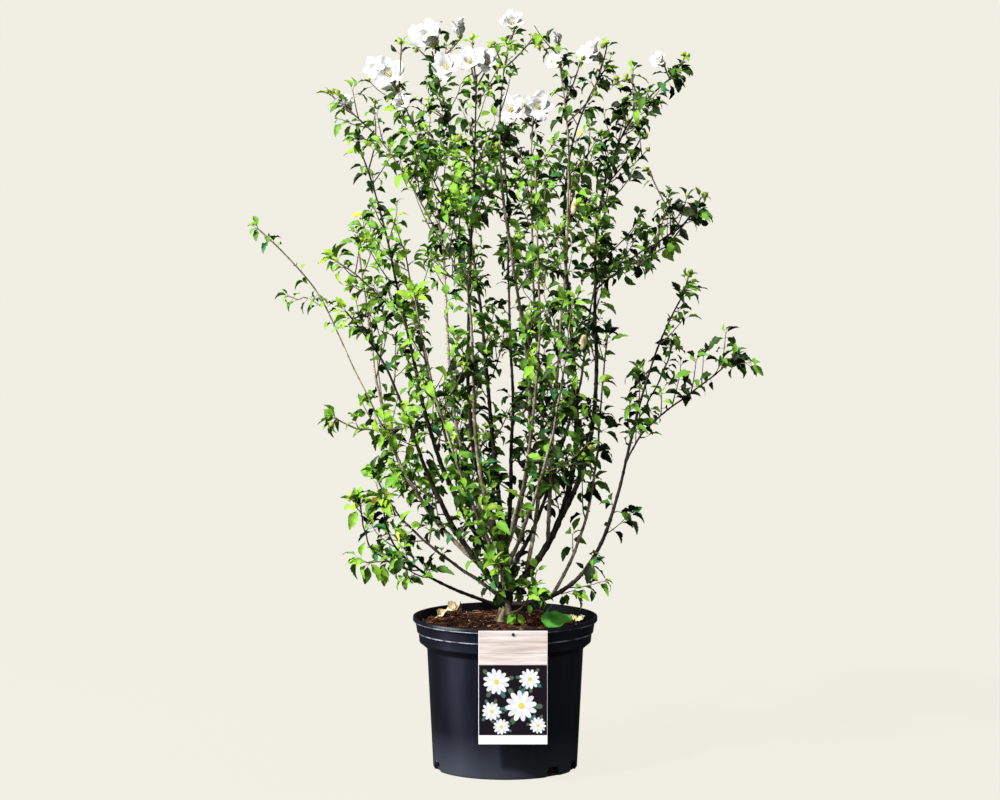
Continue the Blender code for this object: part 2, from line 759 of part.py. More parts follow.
# Blossom
def make_blossom(foot, centre, row, room, pieces):
    """A dish with five lobes on a stalk, which runs on through it as the column of stamens."""
    width, depth_share, round_turn, up_turn = row[3:]
    facing = Vector((0, -1, 0))
    facing.rotate(Matrix.Rotation(math.radians(-up_turn), 3, "X"))
    facing.rotate(Matrix.Rotation(math.radians(round_turn), 3, "Z"))
    stalk = make_tube(
        "stalk",
        [foot, centre - facing * 0.002, centre + facing * STAMEN_LENGTH],
        (STALK_RADIUS, STALK_RADIUS * 1.3, STALK_RADIUS),
        3,
        pieces,
    )
    bm = bmesh.new()
    bmesh.ops.create_uvsphere(bm, u_segments=2 * PETALS, v_segments=2, radius=1)
    depth = width * depth_share
    for vertex in bm.verts:
        x, y, z = vertex.co
        if abs(z) < 0.1:
            lobe = round(math.atan2(y, x) / (math.pi / PETALS)) % 2
            reach = width / 2 * (PETAL_CLEFT if lobe else 1)
            vertex.co = (x * reach, y * reach, depth)
        else:
            vertex.co = (0, 0, PETAL_THICKNESS if z > 0 else -PETAL_THICKNESS)
    place = Matrix.Translation(centre) @ facing.to_track_quat("Z", "Y").to_matrix().to_4x4()
    bmesh.ops.transform(bm, matrix=place, verts=bm.verts)
    dish = add_object("dish", mesh_from(bm, "dish"), pieces)
    room.stand(stalk.data, None)
    room.stand(dish.data, None)


# Masses
def mass_stem(name, route, share, foot_radius, parts):
    """The mass's own stem, which starts just clear of the bough's end."""
    length = route_length(route)
    heading = heading_at(route, share)
    start = at_share(route, share) + heading * GAP
    inner = share + END_RUN / length
    steps = [inner + (1 - inner) * i / MASS_STEM_RUNS for i in range(1, MASS_STEM_RUNS + 1)]
    points = [start, start + heading * END_RUN, *[at_share(route, step) for step in steps]]
    radii = [radius_at(foot_radius, step) for step in [share, inner, *steps]]
    return make_tube(f"mass_{name}", points, radii, 4, parts)


def grow_side_stems(name, routes, foot_radius, room, dice, pieces):
    for side_name, _, parent, share, *_ in side_stems_of(name):
        route = routes[side_name]
        start_radius = radius_at(foot_radius, share) * SIDE_STEM_SLENDERNESS
        shares = [i / SIDE_STEM_RUNS for i in range(SIDE_STEM_RUNS + 1)]
        points = [at_share(route, i) for i in shares]
        radii = [start_radius + (TIP_RADIUS - start_radius) * i for i in shares]
        stem = make_tube("side_stem", points, radii, 3, pieces)
        host = room.stand(stem.data) or room.standing[0]
        grow_along(route, 0.12, host, room, dice, pieces)


def make_mass(row, parts, routes, skeletons, limbs, dice):
    name, foot_radius, share = row[0], row[6] / 1000, row[7]
    room = Room(name, skeletons, limbs)
    base = mass_stem(name, routes[name], share, foot_radius, parts)
    pieces = new_collection(f"pieces_{name}")
    host = room.stand(base.data)
    for foot, centre, blossom in blossom_places(name, routes):
        make_blossom(foot, centre, blossom, room, pieces)
    grow_side_stems(name, routes, foot_radius, room, dice, pieces)
    grow_along(routes[name], share, host, room, dice, pieces)
    finish_mass(base, pieces)


def make_low_spray(name, parts, routes, skeletons, limbs, dice, cutters):
    room = Room(name, skeletons, limbs)
    route = routes[name]
    points = [at_share(route, i / 4) for i in range(5)]
    radii = [LOW_SPRAY_RADIUS + (TIP_RADIUS - LOW_SPRAY_RADIUS) * i / 4 for i in range(5)]
    base = make_tube(f"mass_{name}", points, radii, 4, parts)
    near = [other for other in cutters.objects if other.name.endswith("_clearance")]
    cut_clear(base, [other for other in near if boxes_meet(base, other)])
    pieces = new_collection(f"pieces_{name}")
    host = room.stand(base.data)
    grow_along(route, 0.35, host, room, dice, pieces, with_twigs=False)
    finish_mass(base, pieces)


def finish_mass(base, pieces):
    join_collection(base, pieces)
    keep_main_shell(base)
    base.data.materials.clear()
    base.data.materials.append(material("foliage"))


def main():
    clear_scene()
    parts = new_collection("rose_of_sharon")
    notch_cutters = new_collection("pot_cutters")
    limb_cutters = new_collection("limb_cutters")
    for sides in (3, 4, 5, 10):
        profile_helper(sides, limb_cutters)
    make_pot(parts, notch_cutters)
    make_soil(parts)
    make_label(parts)
    routes = {}
    make_trunk(parts, limb_cutters, routes)
    for row in STEMS:
        make_bough(row, parts, limb_cutters, routes)
    add_side_stem_routes(routes)
    for name, share, reach in LOW_SPRAYS:
        routes[name] = spray_route(share, reach, routes)
    mass_names = [row[0] for row in STEMS] + [row[0] for row in LOW_SPRAYS]
    skeletons = {name: mass_skeleton(name, routes) for name in mass_names}
    limbs = bough_spheres(routes)
    for k, row in enumerate(STEMS):
        make_mass(row, parts, routes, skeletons, limbs, random.Random(SEED + k))
        print("mass", row[0])
    for k, row in enumerate(LOW_SPRAYS):
        dice = random.Random(SEED + 100 + k)
        make_low_spray(row[0], parts, routes, skeletons, limbs, dice, limb_cutters)
    for helper in [obj for obj in limb_cutters.objects if obj.type != "CURVE"]:
        bpy.data.objects.remove(helper, do_unlink=True)


main()
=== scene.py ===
import math
import random

import bpy
import numpy as np
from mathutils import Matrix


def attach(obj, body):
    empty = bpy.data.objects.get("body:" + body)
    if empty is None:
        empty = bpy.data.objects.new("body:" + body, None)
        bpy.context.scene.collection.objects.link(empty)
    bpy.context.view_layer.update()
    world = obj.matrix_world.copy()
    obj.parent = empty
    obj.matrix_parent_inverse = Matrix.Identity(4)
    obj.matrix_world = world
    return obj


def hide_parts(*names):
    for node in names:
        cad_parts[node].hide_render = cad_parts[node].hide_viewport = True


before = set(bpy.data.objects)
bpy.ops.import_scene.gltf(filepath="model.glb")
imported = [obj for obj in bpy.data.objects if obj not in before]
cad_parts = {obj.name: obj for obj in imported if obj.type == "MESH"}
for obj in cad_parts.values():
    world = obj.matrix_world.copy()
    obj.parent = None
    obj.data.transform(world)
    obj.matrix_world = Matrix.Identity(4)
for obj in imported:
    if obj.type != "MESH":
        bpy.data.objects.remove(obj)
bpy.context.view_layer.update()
bpy.ops.object.select_all(action="DESELECT")

# Everything is in metres, as the solids are: origin under the pot, +Z up, the photo looks along +Y.
goldenAngle = math.radians(137.5)
skyward = np.array((0.0, 0.0, 1.0))
limbNodes = sorted(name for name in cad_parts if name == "trunk" or name.startswith("bough_"))
massNodes = sorted(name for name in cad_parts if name.startswith("mass_"))


# Materials

def makeMottleGroup():
    # a coarse noise stretched up to a 0..1 mask, and a finer one for bumps
    group = bpy.data.node_groups.new("mottle", "ShaderNodeTree")
    face = group.interface
    face.new_socket("Vector", in_out="INPUT", socket_type="NodeSocketVector")
    for way, names in (("INPUT", ("Scale", "Low", "High")), ("OUTPUT", ("Mask", "Fine"))):
        for name in names:
            face.new_socket(name, in_out=way, socket_type="NodeSocketFloat")
    kinds = "NodeGroupInput", "ShaderNodeTexNoise", "ShaderNodeTexNoise", "ShaderNodeMath"
    given, coarse, fine, finer = (group.nodes.new(kind) for kind in kinds)
    spread, result = group.nodes.new("ShaderNodeMapRange"), group.nodes.new("NodeGroupOutput")
    coarse.inputs["Detail"].default_value = 4
    fine.inputs["Detail"].default_value = 6
    finer.operation = "MULTIPLY"
    finer.inputs[1].default_value = 6
    for source, output, target, socket in (
        (given, "Vector", coarse, "Vector"), (given, "Vector", fine, "Vector"),
        (given, "Scale", coarse, "Scale"), (given, "Scale", finer, 0), (finer, 0, fine, "Scale"),
        (coarse, "Fac", spread, "Value"), (given, "Low", spread, "From Min"),
        (given, "High", spread, "From Max"), (spread, "Result", result, "Mask"),
        (fine, "Fac", result, "Fine"),
    ):
        group.links.new(source.outputs[output], target.inputs[socket])
    return group


mottle = makeMottleGroup()


class Look:
    # a material while its nodes are joined up

    def __init__(self, name, roughness, colour=None, specular=0.5):
        self.material = bpy.data.materials.new(name)
        self.material.use_nodes = True
        self.nodes, self.links = self.material.node_tree.nodes, self.material.node_tree.links
        self.shader = self.nodes["Principled BSDF"].inputs
        self.shader["Roughness"].default_value = roughness
        self.shader["Specular IOR Level"].default_value = specular
        if colour:
            self.shader["Base Color"].default_value = (*colour, 1)

    def node(self, kind):
        return self.nodes.new("ShaderNode" + kind)

    def feed(self, socket, value):
        self.links.new(value, self.shader[socket])

    def mottled(self, scale, low=0.35, high=0.65, stretch=(1, 1, 1)):
        # reads Object coordinates; returns the mask and the fine noise
        place, mapping, spots = self.node("TexCoord"), self.node("Mapping"), self.node("Group")
        spots.node_tree = mottle
        mapping.inputs["Scale"].default_value = stretch
        self.links.new(place.outputs["Object"], mapping.inputs["Vector"])
        self.links.new(mapping.outputs["Vector"], spots.inputs["Vector"])
        for socket, value in (("Scale", scale), ("Low", low), ("High", high)):
            spots.inputs[socket].default_value = value
        return spots.outputs["Mask"], spots.outputs["Fine"]

    def scaled(self, value, share):
        times = self.node("Math")
        times.operation = "MULTIPLY"
        times.inputs[1].default_value = share
        self.links.new(value, times.inputs[0])
        return times.outputs[0]

    def ranged(self, value, side, low, high):
        spread = self.node("MapRange")
        spread.inputs[side + " Min"].default_value = low
        spread.inputs[side + " Max"].default_value = high
        self.links.new(value, spread.inputs["Value"])
        return spread.outputs["Result"]

    def blended(self, mask, first, second):
        mix = self.node("Mix")
        mix.data_type = "RGBA"
        self.links.new(mask, mix.inputs["Factor"])
        for socket, value in ((mix.inputs[6], first), (mix.inputs[7], second)):
            if isinstance(value, tuple):
                socket.default_value = (*value, 1)
            else:
                self.links.new(value, socket)
        return mix.outputs[2]

    def bumped(self, height, strength, distance):
        bump = self.node("Bump")
        bump.inputs["Strength"].default_value = strength
        bump.inputs["Distance"].default_value = distance
        self.links.new(height, bump.inputs["Height"])
        self.feed("Normal", bump.outputs["Normal"])


def mottledMaterial(name, first, second, scale, roughness, specular=0.4, bump=0.0, depth=0.0005):
    look = Look(name, roughness, specular=specular)
    mask, fine = look.mottled(scale)
    look.feed("Base Color", look.blended(mask, first, second))
    if bump:
        look.bumped(fine, bump, depth)
    return look.material


# Meshes made from arrays

def meshPiece(name, points, triangles, material, smooth=True):
    mesh = bpy.data.meshes.new(name)
    points = np.ascontiguousarray(points, np.float32)
    triangles = np.ascontiguousarray(triangles, np.int32)
    mesh.vertices.add(len(points))
    mesh.vertices.foreach_set("co", points.ravel())
    mesh.loops.add(len(triangles) * 3)
    mesh.loops.foreach_set("vertex_index", triangles.ravel())
    mesh.polygons.add(len(triangles))
    mesh.polygons.foreach_set("loop_start", np.arange(0, len(triangles) * 3, 3, dtype=np.int32))
    mesh.polygons.foreach_set("use_smooth", np.full(len(triangles), smooth))
    mesh.update(calc_edges=True)
    mesh.materials.append(material)
    piece = bpy.data.objects.new(name, mesh)
    bpy.context.scene.collection.objects.link(piece)
    return piece


class Pile:
    # points and triangles gathered for one joined piece

    def __init__(self):
        self.points, self.triangles, self.count = [], [], 0

    def add(self, points, triangles):
        self.points.append(np.asarray(points, float))
        self.triangles.append(np.asarray(triangles) + self.count)
        self.count += len(points)

    def piece(self, name, material, smooth=True):
        points, triangles = np.concatenate(self.points), np.concatenate(self.triangles)
        return meshPiece(name, points, triangles, material, smooth)


def inkedPieces(piles, rows):
    return [piles[name].piece(name, mottledMaterial(ink, *finish)) for name, ink, *finish in rows]


def justAdded(name):
    piece = bpy.context.object
    piece.name = name
    return piece


def standFor(slot, nodes, *pieces):
    for piece in pieces:
        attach(piece, "root")
        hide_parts(*nodes)


def unit(vector):
    return vector / max(1e-9, float(np.linalg.norm(vector)))


def squareTo(direction):
    other = np.array((1.0, 0, 0)) if abs(direction[0]) < 0.8 else np.array((0, 1.0, 0))
    return unit(np.cross(direction, other))


def turnedRound(vector, axis, angle):
    cosine, sine = math.cos(angle), math.sin(angle)
    return vector * cosine + np.cross(axis, vector) * sine + axis * (axis @ vector) * (1 - cosine)


def anyWay(dice, spread=1):
    return np.array([dice.gauss(0, spread) for _ in range(3)])


def sideAt(heading, turn):
    return turnedRound(squareTo(heading), heading, turn)


def between(first, second, turn):
    return first * math.cos(turn) + second * math.sin(turn)


def evenTurns(count):
    return [math.tau * k / count for k in range(count)]


def polar(radius, turn, height):
    return (radius * math.cos(turn), radius * math.sin(turn), height)


def tube(points, radii, sides, lobes=None):
    # rings along a route, closed at both ends; lobes widen or narrow each ring's points
    points = np.asarray(points, float)
    headings = np.gradient(points, axis=0)
    headings /= np.linalg.norm(headings, axis=1)[:, None]
    side = squareTo(headings[0])
    turns = np.arange(sides) * math.tau / sides
    rings = []
    for i, (centre, heading) in enumerate(zip(points, headings)):
        side = unit(side - heading * (side @ heading))
        across = np.cross(heading, side)
        reach = radii[i] * (lobes[i] if lobes is not None else np.ones(sides))
        ring = np.outer(np.cos(turns) * reach, side) + np.outer(np.sin(turns) * reach, across)
        rings.append(centre + ring)
    count = len(rings)
    verts = np.concatenate([*rings, points[:1], points[-1:]])
    i, j = np.meshgrid(np.arange(count - 1), np.arange(sides), indexing="ij")
    a = (i * sides + j).ravel()
    b = (i * sides + (j + 1) % sides).ravel()
    walls = np.concatenate([np.stack([a, b, b + sides], 1), np.stack([a, b + sides, a + sides], 1)])
    j = np.arange(sides)
    k = (j + 1) % sides
    foot, tip, last = count * sides, count * sides + 1, (count - 1) * sides
    footCap = np.stack([np.full(sides, foot), k, j], 1)
    tipCap = np.stack([np.full(sides, tip), last + j, last + k], 1)
    return verts, np.concatenate([walls, footCap, tipCap])


def gridTriangles(rows, columns):
    i, j = np.meshgrid(np.arange(rows - 1), np.arange(columns - 1), indexing="ij")
    a = (i * columns + j).ravel()
    lower = np.stack([a, a + columns, a + columns + 1], 1)
    return np.concatenate([lower, np.stack([a, a + columns + 1, a + 1], 1)])


# Routes of the stems, from the same sizes and the same rule as the solids
routeRule = {
    "handle": 0.38,
    "points": 81,
    "tipRadius": 0.0013,
    "taperPower": 1.5,
    "sideSlenderness": 0.75,
    "wobble": 0.0030,
}

trunk = {
    "foot": (0.0, 0.0, 0.2543),
    "fork": (-0.001, 0.0, 0.385),
    "leans": (3, -2),
    "radius": 0.0125,
    "forkRadius": 0.0085,
    "flareRadius": 0.021,
    "flareHeight": 0.022,
}

# name, the limb it leaves, where along it, tip, lean at foot and tip, foot radius in mm, bough's share
stems = (
    ("left_floor", "trunk", 0.20, (-0.205, -0.14, 0.480), -70, 4, 5.0, 0.38),
    ("left_low", "trunk", 0.26, (-0.228, 0.11, 0.500), -52, -20, 5.0, 0.38),
    ("right_outer", "trunk", 0.24, (0.310, -0.05, 0.835), 92, 34, 6.0, 0.26),
    ("right_thick", "trunk", 0.36, (0.170, 0.06, 1.205), 50, 32, 9.0, 0.24),
    ("left_main", "trunk", 0.40, (-0.270, -0.10, 0.800), -48, -41, 8.0, 0.26),
    ("front_left", "trunk", 0.50, (-0.150, -0.26, 0.840), -20, -8, 5.0, 0.22),
    ("back_right", "trunk", 0.52, (0.175, 0.26, 0.920), 30, 8, 5.5, 0.22),
    ("back_left", "trunk", 0.58, (-0.180, 0.25, 0.890), -30, -10, 5.5, 0.22),
    ("left_tall", "trunk", 0.62, (-0.248, -0.13, 1.085), -38, -21, 7.0, 0.17),
    ("front_right", "trunk", 0.66, (0.110, -0.25, 0.820), 22, 6, 5.0, 0.20),
    ("middle_left", "trunk", 0.74, (-0.134, -0.17, 1.050), -22, -30, 6.0, 0.17),
    ("back_middle", "trunk", 0.82, (0.000, 0.24, 1.100), 6, 0, 5.5, 0.14),
    ("middle_front", "trunk", 0.84, (-0.048, -0.08, 1.200), -20, 0, 6.5, 0.12),
    ("middle_pale", "trunk", 0.93, (0.009, -0.03, 1.265), 22, 13, 6.0, 0.12),
    ("middle_back", "trunk", 0.96, (-0.127, 0.09, 1.240), -6, -14, 6.0, 0.12),
    ("front_middle", "trunk", 0.90, (0.050, -0.20, 1.040), 16, -2, 5.0, 0.15),
    ("far_left", "left_main", 0.12, (-0.258, 0.06, 0.925), -53, -8, 5.5, 0.16),
    ("top_left", "middle_left", 0.06, (-0.198, 0.16, 1.180), -30, -32, 5.0, 0.13),
    ("right_back", "right_thick", 0.05, (0.050, 0.14, 1.130), 13, 5, 5.5, 0.15),
    ("right_front", "right_thick", 0.12, (0.090, -0.11, 1.235), 0, -8, 5.0, 0.10),
    ("right_top", "right_thick", 0.16, (0.296, -0.05, 1.205), 30, 56, 6.5, 0.10),
    ("right_short", "right_outer", 0.12, (0.180, 0.12, 0.740), 34, 8, 4.5, 0.26),
)

# name, the limb it leaves, where along it, tip, lean at foot and tip
sideStems = (
    ("left_hang", "left_main", 0.60, (-0.288, -0.12, 0.622), -92, -50),
    ("left_foot", "left_floor", 0.55, (-0.245, -0.12, 0.474), -95, 6),
    ("left_arch", "far_left", 0.36, (-0.425, 0.01, 0.935), -28, -50),
    ("left_arch_low", "left_arch", 0.62, (-0.375, 0.03, 0.818), -50, -75),
    ("left_reach", "left_tall", 0.61, (-0.285, -0.19, 0.892), -45, -58),
    ("left_point", "middle_left", 0.70, (-0.268, -0.22, 1.150), -30, -50),
    ("right_rise", "right_top", 0.52, (0.322, -0.12, 0.972), 50, 40),
    ("right_middle", "right_top", 0.50, (0.285, 0.09, 0.902), 50, 66),
    ("right_tip", "right_outer", 0.50, (0.388, -0.10, 0.722), 10, 44),
    ("right_bend", "right_outer", 0.54, (0.290, 0.06, 0.728), 10, 14),
)

lowSprays = (
    ("low_spray_front", 0.10, (0.045, -0.070, 0.050)),
    ("low_spray_left", 0.30, (-0.020, -0.080, 0.070)),
    ("low_spray_back", 0.34, (0.015, 0.085, 0.045)),
)
# stems that stand in the crown's shade take the dark bark, the others the pale one: painted shade and painted
# light
shadedStems = {
    "right_outer", "right_thick", "right_top", "right_tip", "right_bend", "right_rise", "right_middle",
    "left_main", "left_tall", "left_low", "left_floor", "left_foot", "back_left", "back_right",
    "middle_back", "middle_front", "back_middle",
}
thinStems = {"left_arch", "left_arch_low"}
sparserStems = {
    "right_outer": 0.68, "right_thick": 0.84, "right_short": 0.75, "back_right": 0.70, "front_right": 0.82,
    "middle_pale": 0.80, "middle_front": 0.85, "back_middle": 0.85,
}
# where a second, thinner growth starts on the stems that stand closest, and how full it is
denseStems = {
    "middle_front": (0.62, 0.45), "middle_back": (0.62, 0.80), "middle_left": (0.60, 0.76),
    "middle_pale": (0.62, 0.35), "top_left": (0.60, 0.90), "back_middle": (0.62, 0.52),
    "right_thick": (0.66, 0.85), "right_top": (0.50, 1.00), "left_floor": (0.40, 0.40),
    "left_low": (0.40, 0.40),
}


def cubic(start, startHandle, endHandle, end, count):
    t = np.linspace(0, 1, count)[:, None]
    s = 1 - t
    return start * s**3 + startHandle * 3 * s * s * t + endHandle * 3 * s * t * t + end * t**3


def evenly(points, count):
    # the same route with its points at even distances
    steps = np.linalg.norm(np.diff(points, axis=0), axis=1)
    along = np.concatenate([[0], np.cumsum(steps)])
    places = np.linspace(0, along[-1], count)
    return np.stack([np.interp(places, along, points[:, k]) for k in range(3)], 1)


def leanHandle(lean, length, depth):
    turn = math.radians(lean)
    return np.array((math.sin(turn) * length, depth, math.cos(turn) * length))


def stemRoute(foot, tip, footLean, tipLean):
    foot, tip = np.array(foot, float), np.array(tip, float)
    flat = math.hypot(tip[0] - foot[0], tip[2] - foot[2]) * routeRule["handle"]
    depth = (tip[1] - foot[1]) * routeRule["handle"]
    start = foot + leanHandle(footLean, flat, depth * 1.3)
    end = tip - leanHandle(tipLean, flat, depth * 0.6)
    return evenly(cubic(foot, start, end, tip, 4 * routeRule["points"]), routeRule["points"])


def routeLength(route):
    return float(np.linalg.norm(np.diff(route, axis=0), axis=1).sum())


def atShare(route, share):
    place = share * (len(route) - 1)
    i = min(int(place), len(route) - 2)
    return route[i] + (route[i + 1] - route[i]) * (place - i)


def spotOn(route, share):
    # the point at a share of the route, and the way the route heads there
    heading = unit(atShare(route, min(share + 0.01, 1)) - atShare(route, max(share - 0.01, 0)))
    return atShare(route, share), heading


def stemRadius(footRadius, share):
    left = max(0, 1 - share)
    return routeRule["tipRadius"] + (footRadius - routeRule["tipRadius"]) * left ** routeRule["taperPower"]


def sideRadius(footRadius, share):
    return footRadius + (routeRule["tipRadius"] - footRadius) * share


def trunkRadius(height):
    rise = trunk["fork"][2] - trunk["foot"][2]
    even = trunk["radius"] + (trunk["forkRadius"] - trunk["radius"]) * height / rise
    flare = max(0, 1 - height / trunk["flareHeight"]) ** 2
    return even + (trunk["flareRadius"] - trunk["radius"]) * flare


def sprayRoute(share, reach):
    foot = atShare(routes["trunk"], share)
    reach = np.array(reach)
    level = foot + reach * (0.6, 0.6, 0.25)
    return evenly(cubic(foot, level, level, foot + reach, routeRule["points"]), 21)


def wobbled(route, dice):
    # small bends, as real stems change course at their nodes; none at the foot and the tip
    share = np.linspace(0, 1, len(route))[:, None]
    bend = np.zeros_like(route)
    for waves in (3, 5, 9, 14):
        way = anyWay(dice)
        bend += np.sin(share * math.pi * waves + dice.uniform(0, math.tau)) * way / waves**0.8
    return route + bend * routeRule["wobble"] * np.sin(share * math.pi) ** 0.5


routes = {"trunk": stemRoute(trunk["foot"], trunk["fork"], *trunk["leans"])}
footRadii = {"trunk": trunk["radius"]}
for name, parent, share, tip, footLean, tipLean, *sizes in (*stems, *sideStems):
    routes[name] = stemRoute(atShare(routes[parent], share), tip, footLean, tipLean)
    slender = stemRadius(footRadii[parent], share) * routeRule["sideSlenderness"]
    footRadii[name] = sizes[0] / 1000 if sizes else slender
for name, share, reach in lowSprays:
    routes[name] = sprayRoute(share, reach)

# each stem is bent after its parent, and carried along with it
stemDice = random.Random(31)
for name, parent, share, *_ in (*stems, *sideStems):
    straight = routes[name]
    moved = atShare(routes[parent], share) - straight[0]
    fade = np.linspace(1, 0, len(straight))[:, None] ** 1.5
    routes[name] = wobbled(straight + moved * fade, stemDice)
print("routes", len(routes))


# Trunk and stems, joined meshes with the bark's relief
bark = {
    "ringStep": 0.004,
    "sides": 10,
    "sideStemSides": 7,
    "trunkSides": 30,
    "trunkRings": 60,
    "trunkSlimness": 0.86,
    "rootSpread": 2.2,
    "rootWaves": ((0.16, 5, 0.7), (0.08, 3, 2)),
    "ridgeWaves": ((0.04, 9, 60), (0.05, 4, 90)),
    "nodeStep": 0.022,
    "nodeSwell": 0.22,
    "roughness": 0.14,
    "slimness": 0.70,
    "thinShare": 0.62,
    # the pale and the dark bark are lit and shaded copies of one bark: painted light and painted shade
    "pale": ((0.52, 0.45, 0.33), (0.165, 0.125, 0.078), (0.030, 0.021, 0.013)),
    "dark": ((0.060, 0.046, 0.032), (0.013, 0.010, 0.007), (0.005, 0.004, 0.003)),
    "olive": ((0.230, 0.200, 0.110), (0.070, 0.054, 0.030), (0.016, 0.012, 0.008)),
}


def barkMaterial(name, colours):
    pale, brown, deep = colours
    look = Look(name, 0.82, specular=0.25)
    broad, fine = look.mottled(60, 0.36, 0.66, (1, 1, 0.35))
    small, _ = look.mottled(270, 0.45, 0.62)
    base = look.blended(broad, brown, pale)
    look.feed("Base Color", look.blended(look.scaled(small, 0.55), base, deep))
    look.bumped(fine, 0.8, 0.0012)
    return look.material


def barkTube(pile, route, footRadius, radiusRule, sides, dice):
    length = routeLength(route)
    shares = np.linspace(0, 1, max(6, int(length / bark["ringStep"])))
    points = np.array([atShare(route, share) for share in shares])
    radii = np.array([radiusRule(footRadius, share) for share in shares])
    radii = radii * (bark["slimness"] + (1 - bark["slimness"]) * shares)
    swell = np.cos(shares * length * math.tau / bark["nodeStep"] + dice.uniform(0, math.tau))
    radii = radii * (1 + bark["nodeSwell"] * (np.clip(swell, 0.5, 1) - 0.5) / 0.5)
    lobes = [[1 + bark["roughness"] * dice.uniform(-0.5, 0.5) for _ in range(sides)] for _ in shares]
    pile.add(*tube(points, radii, sides, np.array(lobes)))


def makeTrunk(pile, dice):
    turns = np.arange(bark["trunkSides"]) * math.tau / bark["trunkSides"]
    points, lobes, radii = [], [], []
    for share in np.linspace(0, 1, bark["trunkRings"]):
        point = atShare(routes["trunk"], share)
        height = point[2] - trunk["foot"][2]
        flare = max(0, 1 - height / (bark["rootSpread"] * trunk["flareHeight"]))
        root = sum(size * flare * np.sin(turns * n + start) for size, n, start in bark["rootWaves"])
        ridge = sum(size * np.sin(turns * n + height * rise) for size, n, rise in bark["ridgeWaves"])
        points.append(point)
        lobes.append(1 + root + ridge + [dice.uniform(-0.035, 0.035) for _ in turns])
        radii.append(trunkRadius(height) * bark["trunkSlimness"])
    pile.add(*tube(points, radii, bark["trunkSides"], lobes))


def makeLimbs():
    stub, light, dark = Pile(), Pile(), Pile()
    dice = random.Random(7)
    makeTrunk(stub, dice)
    for rows, rule, sides in ((stems, stemRadius, "sides"), (sideStems, sideRadius, "sideStemSides")):
        for name, *_ in rows:
            radius = footRadii[name] * (bark["thinShare"] if name in thinStems else 1)
            barkTube(dark if name in shadedStems else light, routes[name], radius, rule, bark[sides], dice)
    for name, pile, tone in (
        ("trunkStub", stub, "olive"), ("paleStems", light, "pale"), ("shadedStems", dark, "dark"),
    ):
        standFor("bark", limbNodes, pile.piece(name, barkMaterial("bark" + tone.title(), bark[tone])))


makeLimbs()
print("limbs")


# Growth: spurs, twigs and leaves along every stem
growth = {
    "nodeStep": 0.0130,
    "twigChance": 0.44,
    "twigLengths": (0.028, 0.100),
    "twigSpread": (26, 60),
    "twigRadius": 0.00120,
    "twigEndRadius": 0.00065,
    "twigNodeStep": 0.0125,
    "forkFrom": 0.06,
    "forkChance": 0.22,
    "lift": 0.40,
    "leafLengths": (0.018, 0.034),
    "leafSize": (1.10, 0.26, 0.45),
    "leafShare": 0.6,
    "leafSpread": 95,
    "stalkLength": 0.007,
    "stalkRadius": 0.00042,
    "sprayRadii": (0.0026, 0.0010),
    "knobRadii": (0.0013, 0.0009),
    "twigBuds": (0.0032, 0.0046),
    "clusterBuds": (0.0038, 0.0056),
    "sparseStep": 0.0095,
    "sprayStep": 0.019,
    "tuftCounts": (2, 3, 3, 4),
    "facing": ((-0.8, 0.35), (-0.9, 0.45), (0.30, 1.15)),
    "droop": 0.42,
    "lowest": 0.262,
    "highest": 1.286,
    "sideFrom": 0.20,
    "sideHighest": 1.230,
    "budsFrom": 0.90,
    "budChance": 0.22,
    "flowerRoom": (0.42, 0.012),
    "fullness": (
        (0.30, 0.22), (0.40, 0.36), (0.52, 0.52), (0.66, 0.50), (0.84, 0.56), (1.00, 0.68), (1.12, 0.68),
    ),
}

# Light that a spray takes: at the middle, its fall to the right, to the back and high up, and its spread
shine = {
    "middle": 0.56,
    "across": 0.60,
    "depth": 0.75,
    "highFrom": 0.95,
    "high": 0.45,
    "spread": 0.27,
    "leafSpread": 0.17,
    "tealShare": 0.035,
    "oldShare": 0.0012,
}

# Places where the photo shows sky between the stems: middle x and z, half width and half height
skyGaps = (
    (-0.285, 0.701, 0.060, 0.062), (-0.160, 0.945, 0.022, 0.050), (-0.118, 0.745, 0.014, 0.085),
    (-0.023, 0.904, 0.011, 0.065), (0.012, 0.801, 0.013, 0.030), (0.008, 0.678, 0.015, 0.036),
    (0.238, 0.780, 0.040, 0.075), (-0.286, 0.545, 0.040, 0.022), (0.262, 1.080, 0.024, 0.050),
    (-0.120, 0.330, 0.060, 0.022), (0.250, 0.520, 0.060, 0.060),
)

# name, least light it takes, base colour; the last two are drawn by chance, never by light. The others are
# lit and shaded copies of one green: painted light and shade
leafTones = (
    ("leafShade", -9.0, (0.008, 0.019, 0.002)),
    ("leafDeep", 0.33, (0.024, 0.066, 0.006)),
    ("leafMid", 0.46, (0.062, 0.160, 0.012)),
    ("leafGrass", 0.60, (0.115, 0.275, 0.022)),
    ("leafBright", 0.80, (0.185, 0.370, 0.028)),
    ("leafLime", 1.16, (0.240, 0.400, 0.026)),
    ("leafTeal", 99.0, (0.035, 0.150, 0.040)),
    ("leafOld", 99.0, (0.500, 0.440, 0.040)),
)

# Half outline of a leaf from foot to point: distance along and half width, for a length of 1
leafOutline = (
    (0.00, 0.012), (0.08, 0.080), (0.19, 0.155), (0.32, 0.225), (0.44, 0.258), (0.53, 0.250),
    (0.57, 0.205), (0.66, 0.212), (0.71, 0.155), (0.80, 0.150), (0.86, 0.095), (0.94, 0.060),
    (1.00, 0.0),
)
midribStops = (0.0, 0.22, 0.45, 0.68, 1.0)


